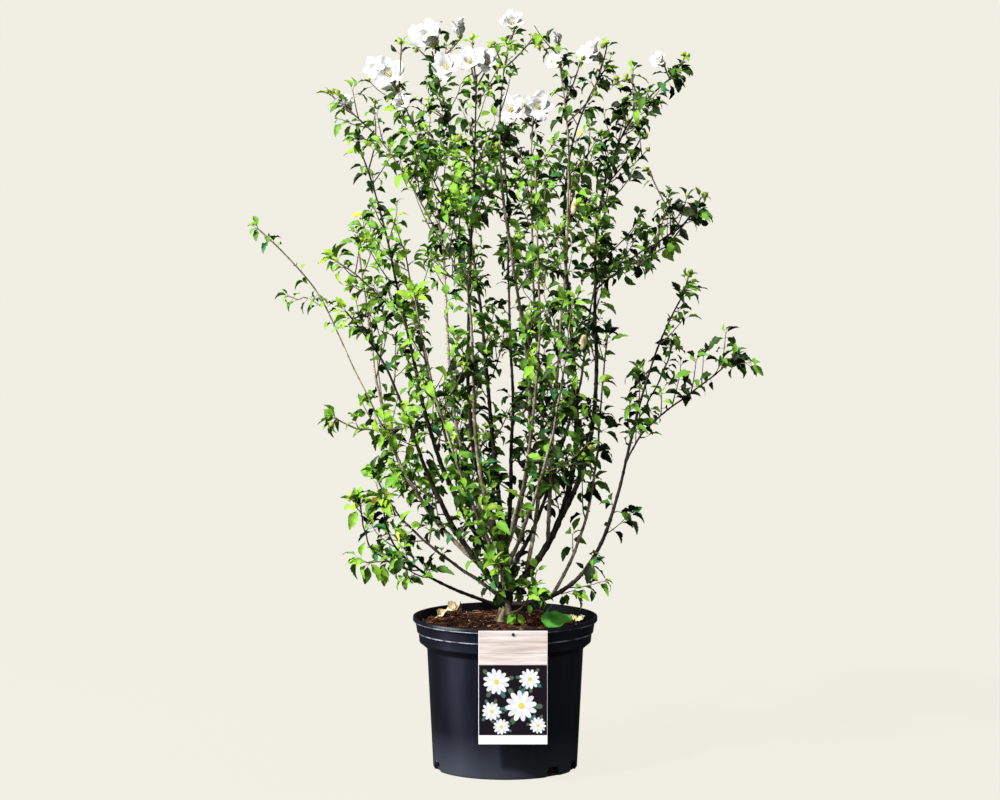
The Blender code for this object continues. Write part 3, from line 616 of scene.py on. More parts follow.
def leafTemplate(fold, curl, wave, width):
    # a blade folded along its midrib, curled down towards its point; returns points and triangles
    def lifted(along, across):
        sweep = curl * along
        rise = abs(across) * fold + wave * math.sin(along * 17 + across * 9) * abs(across)
        return (across * width, rise - (1 - math.cos(sweep)) / curl, math.sin(sweep) / curl)

    ribCount = len(midribStops)
    points = [lifted(stop, 0) for stop in midribStops]
    triangles = []
    for hand in (1, -1):
        first = len(points)
        points += [lifted(along, across * hand) for along, across in leafOutline[1:-1]]
        chain = [0, *range(first, len(points)), ribCount - 1]
        corners, rib = [], 0
        for k in range(len(chain) - 1):
            while rib < ribCount - 1 and leafOutline[k][0] > (midribStops[rib] + midribStops[rib + 1]) / 2:
                corners.append((rib, rib + 1, chain[k]))
                rib += 1
            corners.append((rib, chain[k + 1], chain[k]))
        while rib < ribCount - 1:
            corners.append((rib, rib + 1, chain[-2]))
            rib += 1
        triangles += [corner[::hand] for corner in corners if len(set(corner)) == 3]
    return np.array(points, float), np.array(triangles)


leafShapes = [
    leafTemplate(*bends) for bends in (
        (0.30, 0.7, 0.20, 1.0), (0.60, 1.1, 0.25, 1.0), (0.20, 1.5, 0.30, 1.05),
        (0.85, 0.6, 0.15, 0.90), (0.40, 2.0, 0.30, 0.90), (1.10, 1.2, 0.20, 0.80),
    )
]

# middle of the blossom, width, share of the way open, facing round and up
flowers = (
    ((-0.131, 0.09, 1.264), 0.068, 0.62, -32, 40),
    ((-0.080, 0.06, 1.282), 0.028, 0.26, -20, 70),
    ((-0.203, 0.155, 1.200), 0.070, 0.84, -14, 20),
    ((-0.226, 0.17, 1.212), 0.050, 0.78, -25, 25),
    ((-0.102, 0.07, 1.212), 0.058, 0.80, -22, 16),
    ((-0.060, -0.082, 1.222), 0.060, 0.82, -10, 35),
    ((-0.032, -0.076, 1.220), 0.046, 0.72, -5, 25),
    ((0.012, -0.03, 1.288), 0.048, 0.66, -15, 35),
    ((0.058, 0.13, 1.143), 0.060, 0.88, -4, 20),
    ((0.010, 0.125, 1.138), 0.064, 0.94, -24, 18),
    ((0.085, -0.12, 1.220), 0.036, 0.72, -38, 30),
    ((0.088, -0.04, 1.262), 0.020, 0.24, -20, 70),
    ((0.152, 0.06, 1.236), 0.050, 0.54, -55, 30),
    ((-0.181, 0.14, 1.150), 0.034, 0.70, -10, 20),
    ((-0.262, -0.21, 1.152), 0.030, 0.45, -20, 50),
    ((0.262, -0.05, 1.222), 0.030, 0.55, -40, 30),
)

# middles of the bud clusters read from the photo
budPlaces = (
    (-0.288, -0.20, 1.166), (-0.181, 0.12, 1.250), (-0.153, 0.10, 1.247), (-0.056, -0.06, 1.252),
    (-0.017, -0.05, 1.245), (0.044, -0.03, 1.258), (0.064, -0.08, 1.246), (0.175, 0.05, 1.246),
    (0.127, -0.05, 1.220), (0.146, -0.08, 1.163), (0.193, 0.05, 1.183), (0.215, 0.00, 1.192),
    (0.303, -0.05, 1.226), (-0.131, 0.10, 1.147), (-0.076, -0.10, 1.086), (-0.021, -0.08, 1.072),
    (-0.220, -0.15, 1.074), (0.231, 0.00, 1.088), (0.246, -0.05, 1.034), (0.312, -0.05, 0.855),
    (0.340, 0.08, 0.985), (-0.256, -0.12, 0.481), (-0.071, -0.15, 0.705), (0.143, -0.05, 0.554),
    (0.144, -0.05, 0.902), (0.123, -0.10, 0.977), (-0.290, -0.12, 0.614),
)


class Growth:
    # what grows: leaves by tone and shape, and the piles of all else in the crown

    def __init__(self, dice):
        self.dice = dice
        self.leaves = {row[0]: [[] for _ in leafShapes] for row in leafTones}
        self.piles = {row[0]: Pile() for row in crownPieces}

    def addTube(self, name, points, radii, sides, lobes=None):
        self.piles[name].add(*tube(points, radii, sides, lobes))

    def inSky(self, point):
        if not growth["lowest"] < point[2] < growth["highest"]:
            return True
        if abs(point[0]) > growth["sideFrom"] and point[2] > growth["sideHighest"]:
            return True
        for x, z, halfWidth, halfHeight in skyGaps:
            if ((point[0] - x) / halfWidth) ** 2 + ((point[2] - z) / halfHeight) ** 2 < 1:
                return True
        return False

    def hidesFlower(self, point):
        # nothing stands right before a blossom
        wide, deep = growth["flowerRoom"]
        for (x, y, z), width, *_ in flowers:
            reach = width * wide
            if point[1] < y + deep and (point[0] - x) ** 2 + (point[2] - z) ** 2 < reach * reach:
                return True
        return False

    def lightAt(self, point):
        # sprays towards the light, front left, take paler greens, and those high up darker ones: painted
        # light and painted shade
        high = shine["high"] * max(0, point[2] - shine["highFrom"])
        even = shine["middle"] - shine["across"] * point[0] - shine["depth"] * point[1] - high
        return even + self.dice.gauss(0, shine["spread"])

    def toneFor(self, light):
        for name, share in (("leafTeal", shine["tealShare"]), ("leafOld", shine["oldShare"])):
            if self.dice.random() < share:
                return name
        light += self.dice.gauss(0, shine["leafSpread"])
        return [name for name, least, _ in leafTones if least <= light][-1]

    def addLeaf(self, foot, direction, length, light):
        dice = self.dice
        start = foot + direction * growth["stalkLength"] * dice.uniform(0.5, 1.4)
        middle = start + direction * length * 0.5
        if self.inSky(middle) or self.hidesFlower(middle) or self.hidesFlower(start + direction * length):
            return
        size, shrink, shrinkFrom = growth["leafSize"]
        length *= size - shrink * (foot[2] - shrinkFrom)
        facing = np.array([dice.uniform(*limits) for limits in growth["facing"]])
        side = np.cross(direction, facing)
        side = unit(side) if np.linalg.norm(side) > 0.08 else squareTo(direction)
        above = np.cross(side, direction)
        if above @ facing < 0:
            side, above = -side, -above
        self.addTube("leafStalks", [foot, start], [growth["stalkRadius"]] * 2, 3)
        rows = self.leaves[self.toneFor(light)][dice.randrange(len(leafShapes))]
        rows.append((start, np.stack([side, above, direction]), length))

    def leafFrom(self, foot, heading, turn, spread, size, light):
        way = between(heading, sideAt(heading, turn), spread)
        way = unit(way - skyward * growth["droop"] * self.dice.uniform(0.0, 1.0))
        self.addLeaf(foot, way, self.dice.uniform(*growth["leafLengths"]) * size, light)

    def node(self, foot, heading, turn, count, leastSpread, size, light):
        # single leaves at one node; returns the turn for what comes next
        for _ in range(count):
            spread = math.radians(self.dice.uniform(leastSpread, growth["leafSpread"]))
            self.leafFrom(foot, heading, turn, spread, size, light)
            turn += goldenAngle
        return turn

    def tuft(self, foot, heading, count, light, size=1.0, spread=0.9):
        turn = self.dice.uniform(0, math.tau)
        for _ in range(count):
            turn += goldenAngle
            self.leafFrom(foot, heading, turn, spread * self.dice.uniform(0.45, 1.1), size, light)

    def twig(self, foot, heading, turn, length, light, order=0):
        dice = self.dice
        spread = math.radians(dice.uniform(*growth["twigSpread"]))
        way = unit(between(heading, sideAt(heading, turn), spread))
        lift = skyward * length * growth["lift"] * dice.uniform(0.2, 1.2)
        tip = foot + way * length + lift
        if self.inSky(tip) or self.inSky((foot + tip) / 2) or self.hidesFlower(tip):
            return
        bend = tip - lift * 0.6 - way * length * 0.2
        kink = anyWay(dice) * length * 0.04
        route = evenly(cubic(foot, foot + way * length * 0.35 + kink, bend - kink, tip, 12), 6)
        scale = 0.75 + 0.5 * length / growth["twigLengths"][1]
        radii = np.linspace(growth["twigRadius"], growth["twigEndRadius"], 6) * scale
        self.addTube("twigs", route, radii, 5 if order == 0 else 4)
        steps = max(1, int(length / growth["twigNodeStep"]))
        turn = dice.uniform(0, math.tau)
        for k in range(1, steps + 1):
            share = k / (steps + 0.4)
            turn += goldenAngle
            place, along = spotOn(route, share)
            if order == 0 and length > growth["forkFrom"] and dice.random() < growth["forkChance"]:
                self.twig(place, along, turn, length * dice.uniform(0.3, 0.5), light, 1)
            else:
                count = 1 if dice.random() < growth["leafShare"] else 2
                turn = self.node(place, along, turn, count, 50, 0.8 + 0.3 * share, light)
        heading = spotOn(route, 1)[1]
        # the tuft at the tip takes extra light, so paler greens: painted light
        self.tuft(tip, heading, dice.choice(growth["tuftCounts"]), light + 0.22, 0.75, 0.65)
        if tip[2] > growth["budsFrom"] and dice.random() < growth["budChance"]:
            budShape(self, tip, heading, dice.uniform(*growth["twigBuds"]))

    def along(self, route, start, fullness=1.0, longest=1.0):
        dice = self.dice
        count = max(3, int(routeLength(route) * (1 - start) / growth["nodeStep"]))
        turn = dice.uniform(0, math.tau)
        for k in range(count):
            share = start + (1 - start) * (k + dice.uniform(0.2, 0.8)) / count
            turn += goldenAngle + dice.uniform(-0.4, 0.4)
            foot, heading = spotOn(route, share)
            if dice.random() > fullness * float(np.interp(foot[2], *zip(*growth["fullness"]))):
                continue
            light = self.lightAt(foot)
            if dice.random() < growth["twigChance"]:
                shortest, most = growth["twigLengths"]
                envelope = longest * (0.40 + 0.60 * math.sin(math.pi * min(1, share * 1.02)))
                self.twig(foot, heading, turn, shortest + (most - shortest) * dice.random() * envelope, light)
            else:
                side = sideAt(heading, turn)
                knob = foot + unit(side + heading * 0.6) * dice.uniform(0.004, 0.011)
                self.addTube("twigs", [foot, knob], growth["knobRadii"], 4)
                self.tuft(knob, unit(side + heading * 0.5), dice.choice(growth["tuftCounts"]), light)
        tip, heading = spotOn(route, 1)
        # the tufts at the tip take extra light, so paler greens: painted light
        self.tuft(tip, heading, 5, self.lightAt(tip) + 0.3, 0.8, 0.7)
        self.tuft(atShare(route, 0.975), heading, 4, self.lightAt(tip) + 0.2, 1.0, 1.0)

    def sparse(self, route, size):
        # single small leaves along a thin, nearly bare stem
        count = int(routeLength(route) / growth["sparseStep"])
        turn = self.dice.uniform(0, math.tau)
        for k in range(1, count + 1):
            turn += goldenAngle
            foot, heading = spotOn(route, k / count)
            light = self.lightAt(foot)
            turn = self.node(foot, heading, turn, self.dice.choice((0, 1, 1, 2)), 40, size, light)
        self.tuft(*spotOn(route, 1), 4, 0.9, size, 0.8)

    def reachTo(self, target, radius=0.0013):
        # a nearly straight leafy twig from a stem well below up to the target; returns its heading
        best = None
        for route in routes.values():
            for point in route[6::3]:
                gap = target - point
                flat = math.hypot(gap[0], gap[1])
                cost = np.linalg.norm(gap) + 1.2 * max(0, 1.1 * flat - gap[2])
                if best is None or cost < best[0]:
                    best = (cost, point)
        foot, gap = best[1], target - best[1]
        length = float(np.linalg.norm(gap))
        lift = skyward * length * 0.08
        route = cubic(foot, foot + gap * 0.33 - lift * 0.5, target - gap * 0.33 - lift, target, 9)
        self.addTube("twigs", route, np.linspace(radius * 1.2, radius, 9), 5)
        if length > 0.03:
            for share in np.arange(0.25, 0.92, growth["sprayStep"] / length):
                place, heading = spotOn(route, share)
                self.tuft(place, heading, self.dice.choice((0, 1, 1, 2)), self.lightAt(place), 0.66, 1.1)
        return unit(route[-1] - route[-2])


# Buds
bud = {
    "profile": ((0.0, 0.35), (0.15, 0.85), (0.40, 1.0), (0.65, 0.80), (0.85, 0.45), (1.0, 0.08)),
    "length": 1.9,
    "stalkRadii": (0.0008, 0.0010),
    "bracts": 6,
    "bractRadii": (0.0006, 0.0006, 0.0002),
}


def budShape(grown, foot, heading, radius):
    # a stalk and a pointed egg, with a collar of narrow bracts
    side = squareTo(heading)
    across = np.cross(heading, side)
    stalkEnd = foot + heading * radius * 1.4
    grown.addTube("budsAndSepals", [foot, stalkEnd], bud["stalkRadii"], 4)
    points = [stalkEnd + heading * radius * bud["length"] * rise for rise, _ in bud["profile"]]
    grown.addTube("budsAndSepals", points, [radius * wide for _, wide in bud["profile"]], 8)
    for turn in evenTurns(bud["bracts"]):
        out = between(side, across, turn)
        end = stalkEnd + out * radius * 1.35 + heading * radius * 0.9
        route = [stalkEnd, (stalkEnd + end) / 2 + out * radius * 0.3, end]
        grown.addTube("budsAndSepals", route, bud["bractRadii"], 3)


def budCluster(grown, place):
    dice = grown.dice
    heading = grown.reachTo(place)
    for _ in range(dice.choice((2, 3, 3))):
        way = unit(heading + anyWay(dice, 0.6))
        budShape(grown, place, way, dice.uniform(*growth["clusterBuds"]))
    # a fixed high light, so pale greens round the buds: painted light
    grown.tuft(place, heading, 3, 1.25, 0.62, 0.9)


# Blossom
blossom = {
    "rows": 14,
    "columns": 19,
    "petals": 5,
    "stamens": 34,
    "ruffle": 0.090,
    "notch": 0.070,
    "columnShare": 0.50,
    "columnRadii": (0.0020, 0.0018, 0.0016, 0.0014, 0.0009),
    "sepalRadii": (0.0022, 0.0028, 0.0003),
    "spentSteps": (0.0, 0.003, 0.010, 0.018, 0.024, 0.027),
    "spentRadii": (0.002, 0.0045, 0.0062, 0.0058, 0.0040, 0.0015),
    "spentPlaces": ((0.133, -0.12, 0.762), (0.119, -0.10, 0.990)),
}

# piece, its material, two base colours, scale of the mottle, roughness, specular, bump and its depth
crownPieces = (
    ("twigs", "twigBrown", (0.035, 0.022, 0.013), (0.20, 0.15, 0.085), 110, 0.75, 0.25, 0.5),
    ("leafStalks", "stalkGreen", (0.07, 0.10, 0.02), (0.24, 0.28, 0.06), 90, 0.6),
    ("budsAndSepals", "budGreen", (0.15, 0.24, 0.03), (0.42, 0.50, 0.06), 130, 0.5),
    ("petals", "petalWhite", (0.64, 0.65, 0.65), (0.72, 0.72, 0.70), 70, 0.6, 0.25),
    ("fadedBlossoms", "petalFaded", (0.42, 0.33, 0.16), (0.70, 0.62, 0.42), 120, 0.7, 0.2, 0.4, 0.0006),
    ("stamens", "stamenCream", (0.62, 0.52, 0.20), (0.80, 0.74, 0.42), 300, 0.6),
    ("throats", "throatGreen", (0.30, 0.38, 0.10), (0.42, 0.50, 0.16), 200, 0.6),
)


def petalGrid(length, openness, turn, dice):
    # a broad petal that rises from the throat and rolls outwards, in the flower's own axes
    rows, columns = blossom["rows"], blossom["columns"]
    u = np.linspace(0.02, 1, rows)[:, None]
    v = np.linspace(-1, 1, columns)[None]
    length = length * dice.uniform(0.90, 1.08)
    lean = np.radians(12 + (openness * 88 + dice.uniform(-12, 10) - 12) * u**0.75)
    outward = np.cumsum(np.sin(lean) * length / rows, axis=0)
    upward = np.cumsum(np.cos(lean) * length / rows, axis=0)
    half = length * 0.46 * np.sin(np.pi * (0.05 + 0.68 * u)) ** 1.05
    notches = np.abs(np.sin(v * 4.5 + dice.uniform(0, 6)))
    shorten = 1 - (0.20 * np.abs(v) ** 2.4 + blossom["notch"] * notches) * u**2
    loose = 0.25 + 0.75 * openness
    swell = blossom["ruffle"] * loose * length * u**1.6 * np.sin(v * 4 + dice.uniform(0, 6) + u * 2)
    swell = swell + 0.015 * loose * length * u**2.5 * np.sin(v * 9 + dice.uniform(0, 6))
    # each petal bends round the flower's axis, one edge inside its neighbour and one outside
    reach = np.maximum(outward * shorten, 0.02 * length) + 0.13 * length * v * u
    around = half * v / np.maximum(reach, 0.24 * length)
    x = reach * np.cos(around) - swell * np.cos(lean)
    y = reach * np.sin(around) + half * v * np.clip(1 - reach / (0.24 * length), 0, 1)
    z = upward * shorten + swell * np.sin(lean) + 0 * v
    turn += dice.uniform(-0.12, 0.12)
    cosine, sine = math.cos(turn), math.sin(turn)
    spin = np.array(((cosine, sine, 0), (-sine, cosine, 0), (0, 0, 1)))
    return np.stack([x, y, z], -1).reshape(-1, 3) @ spin


def flowerAxes(roundTurn, upTurn):
    a, e = math.radians(roundTurn), math.radians(upTurn)
    facing = np.array((math.sin(a) * math.cos(e), -math.cos(a) * math.cos(e), math.sin(e)))
    side = unit(np.cross(facing, skyward))
    return np.stack([side, np.cross(facing, side), facing])


def makeFlower(grown, middle, width, openness, roundTurn, upTurn):
    dice = grown.dice
    axes = flowerAxes(roundTurn, upTurn)
    side, across, facing = axes
    length = width * 0.60 / max(0.50, math.sin(math.radians(openness * 80)))
    centre = np.array(middle) - facing * length * (0.62 - 0.34 * openness)
    stalkEnd = centre - facing * 0.004
    grown.reachTo(stalkEnd, 0.0014)
    spin = dice.uniform(0, math.tau)
    for turn in evenTurns(blossom["petals"]):
        points = petalGrid(length, openness, spin + turn, dice)
        grown.piles["petals"].add(centre + points @ axes, gridTriangles(blossom["rows"], blossom["columns"]))
    throat = [centre, centre + facing * length * 0.10]
    grown.addTube("throats", throat, [width * 0.045, width * 0.075], 10)
    columnEnd = length * blossom["columnShare"]
    shaft = [centre + facing * t for t in np.linspace(0, columnEnd, 5)]
    grown.addTube("stamens", shaft, np.array(blossom["columnRadii"]) * width / 0.07, 6)
    for _ in range(blossom["stamens"]):
        turn, rise = dice.uniform(0, math.tau), dice.uniform(0.30, 1.0)
        out = between(side, across, turn)
        root = centre + facing * columnEnd * rise
        end = root + (out + facing * 0.3) * 0.0030 * width / 0.06
        grown.addTube("stamens", [root, end], [0.0003, 0.0003], 3)
        grown.addTube("stamens", [end, end + out * 0.0011], [0.0008, 0.0006], 4)
    for turn in evenTurns(blossom["petals"]):
        out = between(side, across, spin + 0.6 + turn)
        end = centre + out * width * 0.17 + facing * width * (0.14 if openness < 0.6 else 0.04)
        route = [stalkEnd, (centre + end) / 2 + out * 0.001, end]
        grown.addTube("budsAndSepals", route, blossom["sepalRadii"], 4)


def spentBlossom(grown, place):
    # a rolled, cream, finished blossom that hangs
    grown.reachTo(place, 0.0012)
    down = unit(np.array((-0.15, -0.15, -1.0)))
    route = [place + down * step for step in blossom["spentSteps"]]
    lobes = [1 + 0.22 * np.sin(np.arange(9) * math.tau / 9 * 3 + t * 0.8) for t in range(6)]
    grown.addTube("fadedBlossoms", route, blossom["spentRadii"], 9, lobes)


def makeLeaves(grown):
    made = []
    for tone, _, colour in leafTones:
        pile, byShape = Pile(), grown.leaves[tone]
        for (shapePoints, shapeTriangles), rows in zip(leafShapes, byShape):
            if rows:
                feet, axes, sizes = (np.array([row[k] for row in rows]) for k in range(3))
                points = feet[:, None] + (shapePoints @ axes) * sizes[:, None, None]
                offsets = np.arange(len(rows))[:, None, None] * len(shapePoints)
                pile.add(points.reshape(-1, 3), (shapeTriangles[None] + offsets).reshape(-1, 3))
        if pile.count:
            made.append(pile.piece(tone, Look(tone, 0.52, colour, 0.16).material))
        print(tone, sum(len(rows) for rows in byShape), "leaves")
    return made


def growCrown():
    grown = Growth(random.Random(20))
    for row in flowers:
        makeFlower(grown, *row)
    for place in budPlaces:
        budCluster(grown, np.array(place))
    for place in blossom["spentPlaces"]:
        spentBlossom(grown, np.array(place))
    for name, *_, boughShare in stems:
        grown.along(routes[name], max(0.10, boughShare - 0.16), sparserStems.get(name, 1.0))
        if name in denseStems:
            grown.along(routes[name], *denseStems[name])
    for name, *_ in sideStems:
        if name in thinStems:
            grown.sparse(routes[name], 0.76)
        else:
            grown.along(routes[name], 0.10, 1.12, 0.6)
    for name, *_ in lowSprays:
        route = routes[name]
        grown.addTube("twigs", route, np.linspace(*growth["sprayRadii"], len(route)), 6)
        grown.along(route, 0.30, fullness=9, longest=0.3)
    pieces = [*makeLeaves(grown), *inkedPieces(grown.piles, crownPieces)]
    standFor("foliage", massNodes, *pieces)
    print("crown", {piece.name: len(piece.data.polygons) for piece in pieces})


growCrown()


# Pot
pot = {
    "segments": 128,
    "outside": (
        (0.1190, 0.0000), (0.1240, 0.0004), (0.1253, 0.0022), (0.1355, 0.2070), (0.1362, 0.2098),
        (0.1380, 0.2118), (0.1472, 0.2196), (0.1486, 0.2206), (0.1490, 0.2218), (0.1491, 0.2226),
        (0.1502, 0.2352), (0.1507, 0.2362), (0.1520, 0.2367), (0.1529, 0.2377), (0.1531, 0.2391),
        (0.1555, 0.2548), (0.1560, 0.2560), (0.1588, 0.2565), (0.1599, 0.2576), (0.1600, 0.2585),
        (0.1600, 0.2638), (0.1596, 0.2648), (0.1586, 0.2650),
    ),
    "inside": (
        (0.1562, 0.2650), (0.1546, 0.2642), (0.1536, 0.2560), (0.1510, 0.2400), (0.1484, 0.2372),
        (0.1466, 0.2240), (0.1340, 0.2125), (0.1231, 0.0045),
    ),
    "wornAndHighlitHeights": ((0.2566, 0.2584), (0.2368, 0.2390)),
    "notches": (41, 70, 145, 180, -105, -70),
    "notchFootWidth": 0.031,
    "notchTopWidth": 0.022,
    "notchHeight": 0.017,
    "notchDepth": 0.012,
    "notchFoot": -0.002,
    "footRadius": 0.1253,
    "wornAndHighlitRadius": 0.1485,
    "topHeight": 0.2640,
    "insideHeight": 0.21,
    "smoothAngle": 32,
    "blackColour": (0.0030, 0.0037, 0.0080),
    "dustColour": (0.012, 0.015, 0.027),
    "streakColour": (0.024, 0.029, 0.044),
    "floorReflectionHeights": (0.075, 0.010),
    "gloss": (0.24, 0.40),
    "insideColour": (0.0050, 0.0048, 0.0058),
    "floorReflectionColour": (0.040, 0.045, 0.061),
    "wornAndHighlitColour": (0.42, 0.44, 0.50),
}


def turnedShell(name, rows, segments):
    # a ring that is extruded and resized from row to row; the last face closes the floor
    radius, height = rows[0]
    bpy.ops.mesh.primitive_circle_add(
        vertices=segments, radius=radius, fill_type="NGON", location=(0, 0, height)
    )
    shell = justAdded(name)
    bpy.ops.object.mode_set(mode="EDIT")
    bpy.ops.mesh.select_mode(type="EDGE")
    bpy.ops.mesh.select_all(action="SELECT")
    for newRadius, newHeight in rows[1:]:
        bpy.ops.mesh.extrude_region_move(TRANSFORM_OT_translate={"value": (0, 0, newHeight - height)})
        grow = newRadius / radius
        bpy.ops.transform.resize(value=(grow, grow, 1), center_override=(0, 0, newHeight))
        radius, height = newRadius, newHeight
    bpy.ops.mesh.select_all(action="SELECT")
    bpy.ops.mesh.normals_make_consistent(inside=False)
    bpy.ops.object.mode_set(mode="OBJECT")
    bpy.ops.object.transform_apply(location=True, rotation=True, scale=True)
    return shell


def notchCutter(azimuth):
    bpy.ops.mesh.primitive_cube_add(size=1, location=(0, 0, 0))
    cutter = bpy.context.object
    for vertex in cutter.data.vertices:
        top = vertex.co.z > 0
        vertex.co.x *= pot["notchTopWidth"] if top else pot["notchFootWidth"]
        vertex.co.y = vertex.co.y * pot["notchDepth"] - pot["footRadius"]
        vertex.co.z = pot["notchHeight"] if top else pot["notchFoot"]
    cutter.rotation_euler = (0, 0, math.radians(azimuth))
    return cutter


def potMaterial():
    # black with dust and streaks, and paler low down: a painted reflection of the floor
    look = Look("potBlackPlastic", 0.30)
    dust, _ = look.mottled(8, 0.40, 0.72, (1, 1, 0.30))
    streaks, _ = look.mottled(45, 0.48, 0.75, (1, 1, 0.08))
    _, grain = look.mottled(160, 0.45, 0.60)
    base = look.blended(dust, pot["blackColour"], pot["dustColour"])
    streaked = look.blended(look.scaled(streaks, 0.30), base, pot["streakColour"])
    place, apart = look.node("TexCoord"), look.node("SeparateXYZ")
    look.links.new(place.outputs["Object"], apart.inputs[0])
    # the lower wall turns paler blue-grey: painted reflection of the floor
    low = look.scaled(look.ranged(apart.outputs["Z"], "From", *pot["floorReflectionHeights"]), 0.75)
    look.feed("Base Color", look.blended(low, streaked, pot["floorReflectionColour"]))
    look.feed("Roughness", look.ranged(dust, "To", *pot["gloss"]))
    look.bumped(grain, 0.05, 0.0004)
    return look.material


def makePot():
    shell = turnedShell("potShell", [*pot["outside"], *pot["inside"]], pot["segments"])
    for azimuth in pot["notches"]:
        cutter = notchCutter(azimuth)
        cut = shell.modifiers.new("notch", "BOOLEAN")
        cut.object = cutter
        cut.operation = "DIFFERENCE"
        cut.solver = "EXACT"
        bpy.ops.object.select_all(action="DESELECT")
        shell.select_set(True)
        bpy.context.view_layer.objects.active = shell
        bpy.ops.object.modifier_apply(modifier=cut.name)
        bpy.data.objects.remove(cutter, do_unlink=True)
    shell.data.materials.clear()
    for ink in (
        potMaterial(),
        mottledMaterial("potWornAndHighlitEdge", (0.045, 0.05, 0.07), pot["wornAndHighlitColour"], 55, 0.35),
        mottledMaterial("potInside", pot["insideColour"], pot["blackColour"], 30, 0.6, 0.12, 0.1),
    ):
        shell.data.materials.append(ink)
    for face in shell.data.polygons:
        x, y, z = face.center
        # band edges take a pale finish: partly rubbed wear, partly a painted highlight of the sky
        if math.hypot(x, y) > pot["wornAndHighlitRadius"] and any(low < z < high for low, high in pot["wornAndHighlitHeights"]):
            face.material_index = 1
        inward = face.normal.x * x + face.normal.y * y < 0
        if z > pot["topHeight"] or (inward and z > pot["insideHeight"]):
            face.material_index = 2
    bpy.ops.object.shade_smooth_by_angle(angle=math.radians(pot["smoothAngle"]))
    standFor("pot_plastic", ["pot"], shell)


makePot()
print("pot")


# Soil: a rough mound with crumbs, bark chips, dead fibres and fallen leaves
soil = {
    "radius": 0.1518,
    "edgeHeight": 0.249,
    "topHeight": 0.254,
    "levelRadius": 0.032,
    "core": (
        (0.1504, 0.2402), (0.1478, 0.2374), (0.1460, 0.2245), (0.1334, 0.2130), (0.1240, 0.0320),
        (0.1150, 0.0260), (0.1150, 0.0040),
    ),
    "rings": 46,
    "turns": 120,
    "relief": 0.0030,
    "calmRadius": 0.02,
    "trunkRoom": 0.016,
    "edgeRoom": 0.004,
    "fibres": 90,
    "fibreRadii": (0.0003, 0.0004, 0.0002),
}
# how many, tones and their odds, lengths, rise above the mound as a share of length and fixed, thickness
soilBits = (
    (4200, ("soilDark", "soilBrown", "soilRed"), (5, 5, 2), (0.0009, 0.0027), 0.4, 0.0, 0.75),
    (260, ("soilBrown", "soilRed", "soilPale"), (4, 6, 1), (0.002, 0.0065), 0.0, 0.0022, 0.30),
)
soilTones = {
    "soilDark": (0.020, 0.008, 0.005),
    "soilBrown": (0.062, 0.022, 0.011),
    "soilRed": (0.170, 0.052, 0.022),
    "soilPale": (0.400, 0.280, 0.150),
}


def moundHeight(radius):
    share = np.clip((radius - soil["levelRadius"]) / (soil["radius"] - soil["levelRadius"]), 0, 1)
    return soil["topHeight"] + (soil["edgeHeight"] - soil["topHeight"]) * share


def makeSoil():
    noise = np.random.default_rng(5)
    rings, turns = soil["rings"], soil["turns"]
    bumps = noise.normal(0, 1, (rings + 1, turns))
    bumps = (bumps + np.roll(bumps, 1, 1) + np.roll(bumps, -1, 1)) / 2
    ways = evenTurns(turns)
    points = [(0.0, 0.0, soil["topHeight"])]
    for i in range(1, rings + 1):
        radius = soil["radius"] * i / rings
        calm = min(1, max(0, (radius - soil["calmRadius"]) / soil["calmRadius"]))
        for bump, way in zip(bumps[i], ways):
            points.append(polar(radius, way, moundHeight(radius) + bump * soil["relief"] * 0.5 * calm))
    # the fill goes on down to the floor, so that no light passes from notch to notch
    for radius, height in soil["core"]:
        points += [polar(radius, way, height) for way in ways]
    foot = len(points)
    points.append((0, 0, soil["core"][-1][1]))
    triangles = []
    for j in range(turns):
        k = (j + 1) % turns
        triangles += [(0, 1 + j, 1 + k), (foot, foot - turns + k, foot - turns + j)]
        for i in range(rings + len(soil["core"]) - 1):
            a, b = 1 + i * turns + j, 1 + i * turns + k
            triangles += [(a, a + turns, b + turns), (a, b + turns, b)]
    dark, brown = soilTones["soilDark"], soilTones["soilBrown"]
    earth = mottledMaterial("soilMix", dark, brown, 160, 0.95, 0.2, 1.0, 0.003)
    mound = meshPiece("soilMound", points, triangles, earth, smooth=False)
    standFor("soil_mix", ["soil"], mound, *scatterSoil(), *fallenLeaves())


def soilSpot(dice):
    least, most = soil["trunkRoom"], soil["radius"] - soil["edgeRoom"]
    radius = math.sqrt(dice.uniform(least**2, most**2))
    return np.array(polar(radius, dice.uniform(0, math.tau), float(moundHeight(radius))))


def lump(pile, centre, length, thickness, dice):
    # a jittered lump of five sides
    way = unit(np.array([dice.gauss(0, 1), dice.gauss(0, 1), dice.gauss(0, 0.5)]))
    points = [centre + way * length * t for t in (-1, -0.4, 0.5, 1)]
    radii = [thickness * 0.4, thickness, thickness * dice.uniform(0.6, 1), thickness * 0.3]
    verts, triangles = tube(points, radii, 5)
    pile.add(verts + np.array([anyWay(dice) for _ in verts]) * thickness * 0.18, triangles)


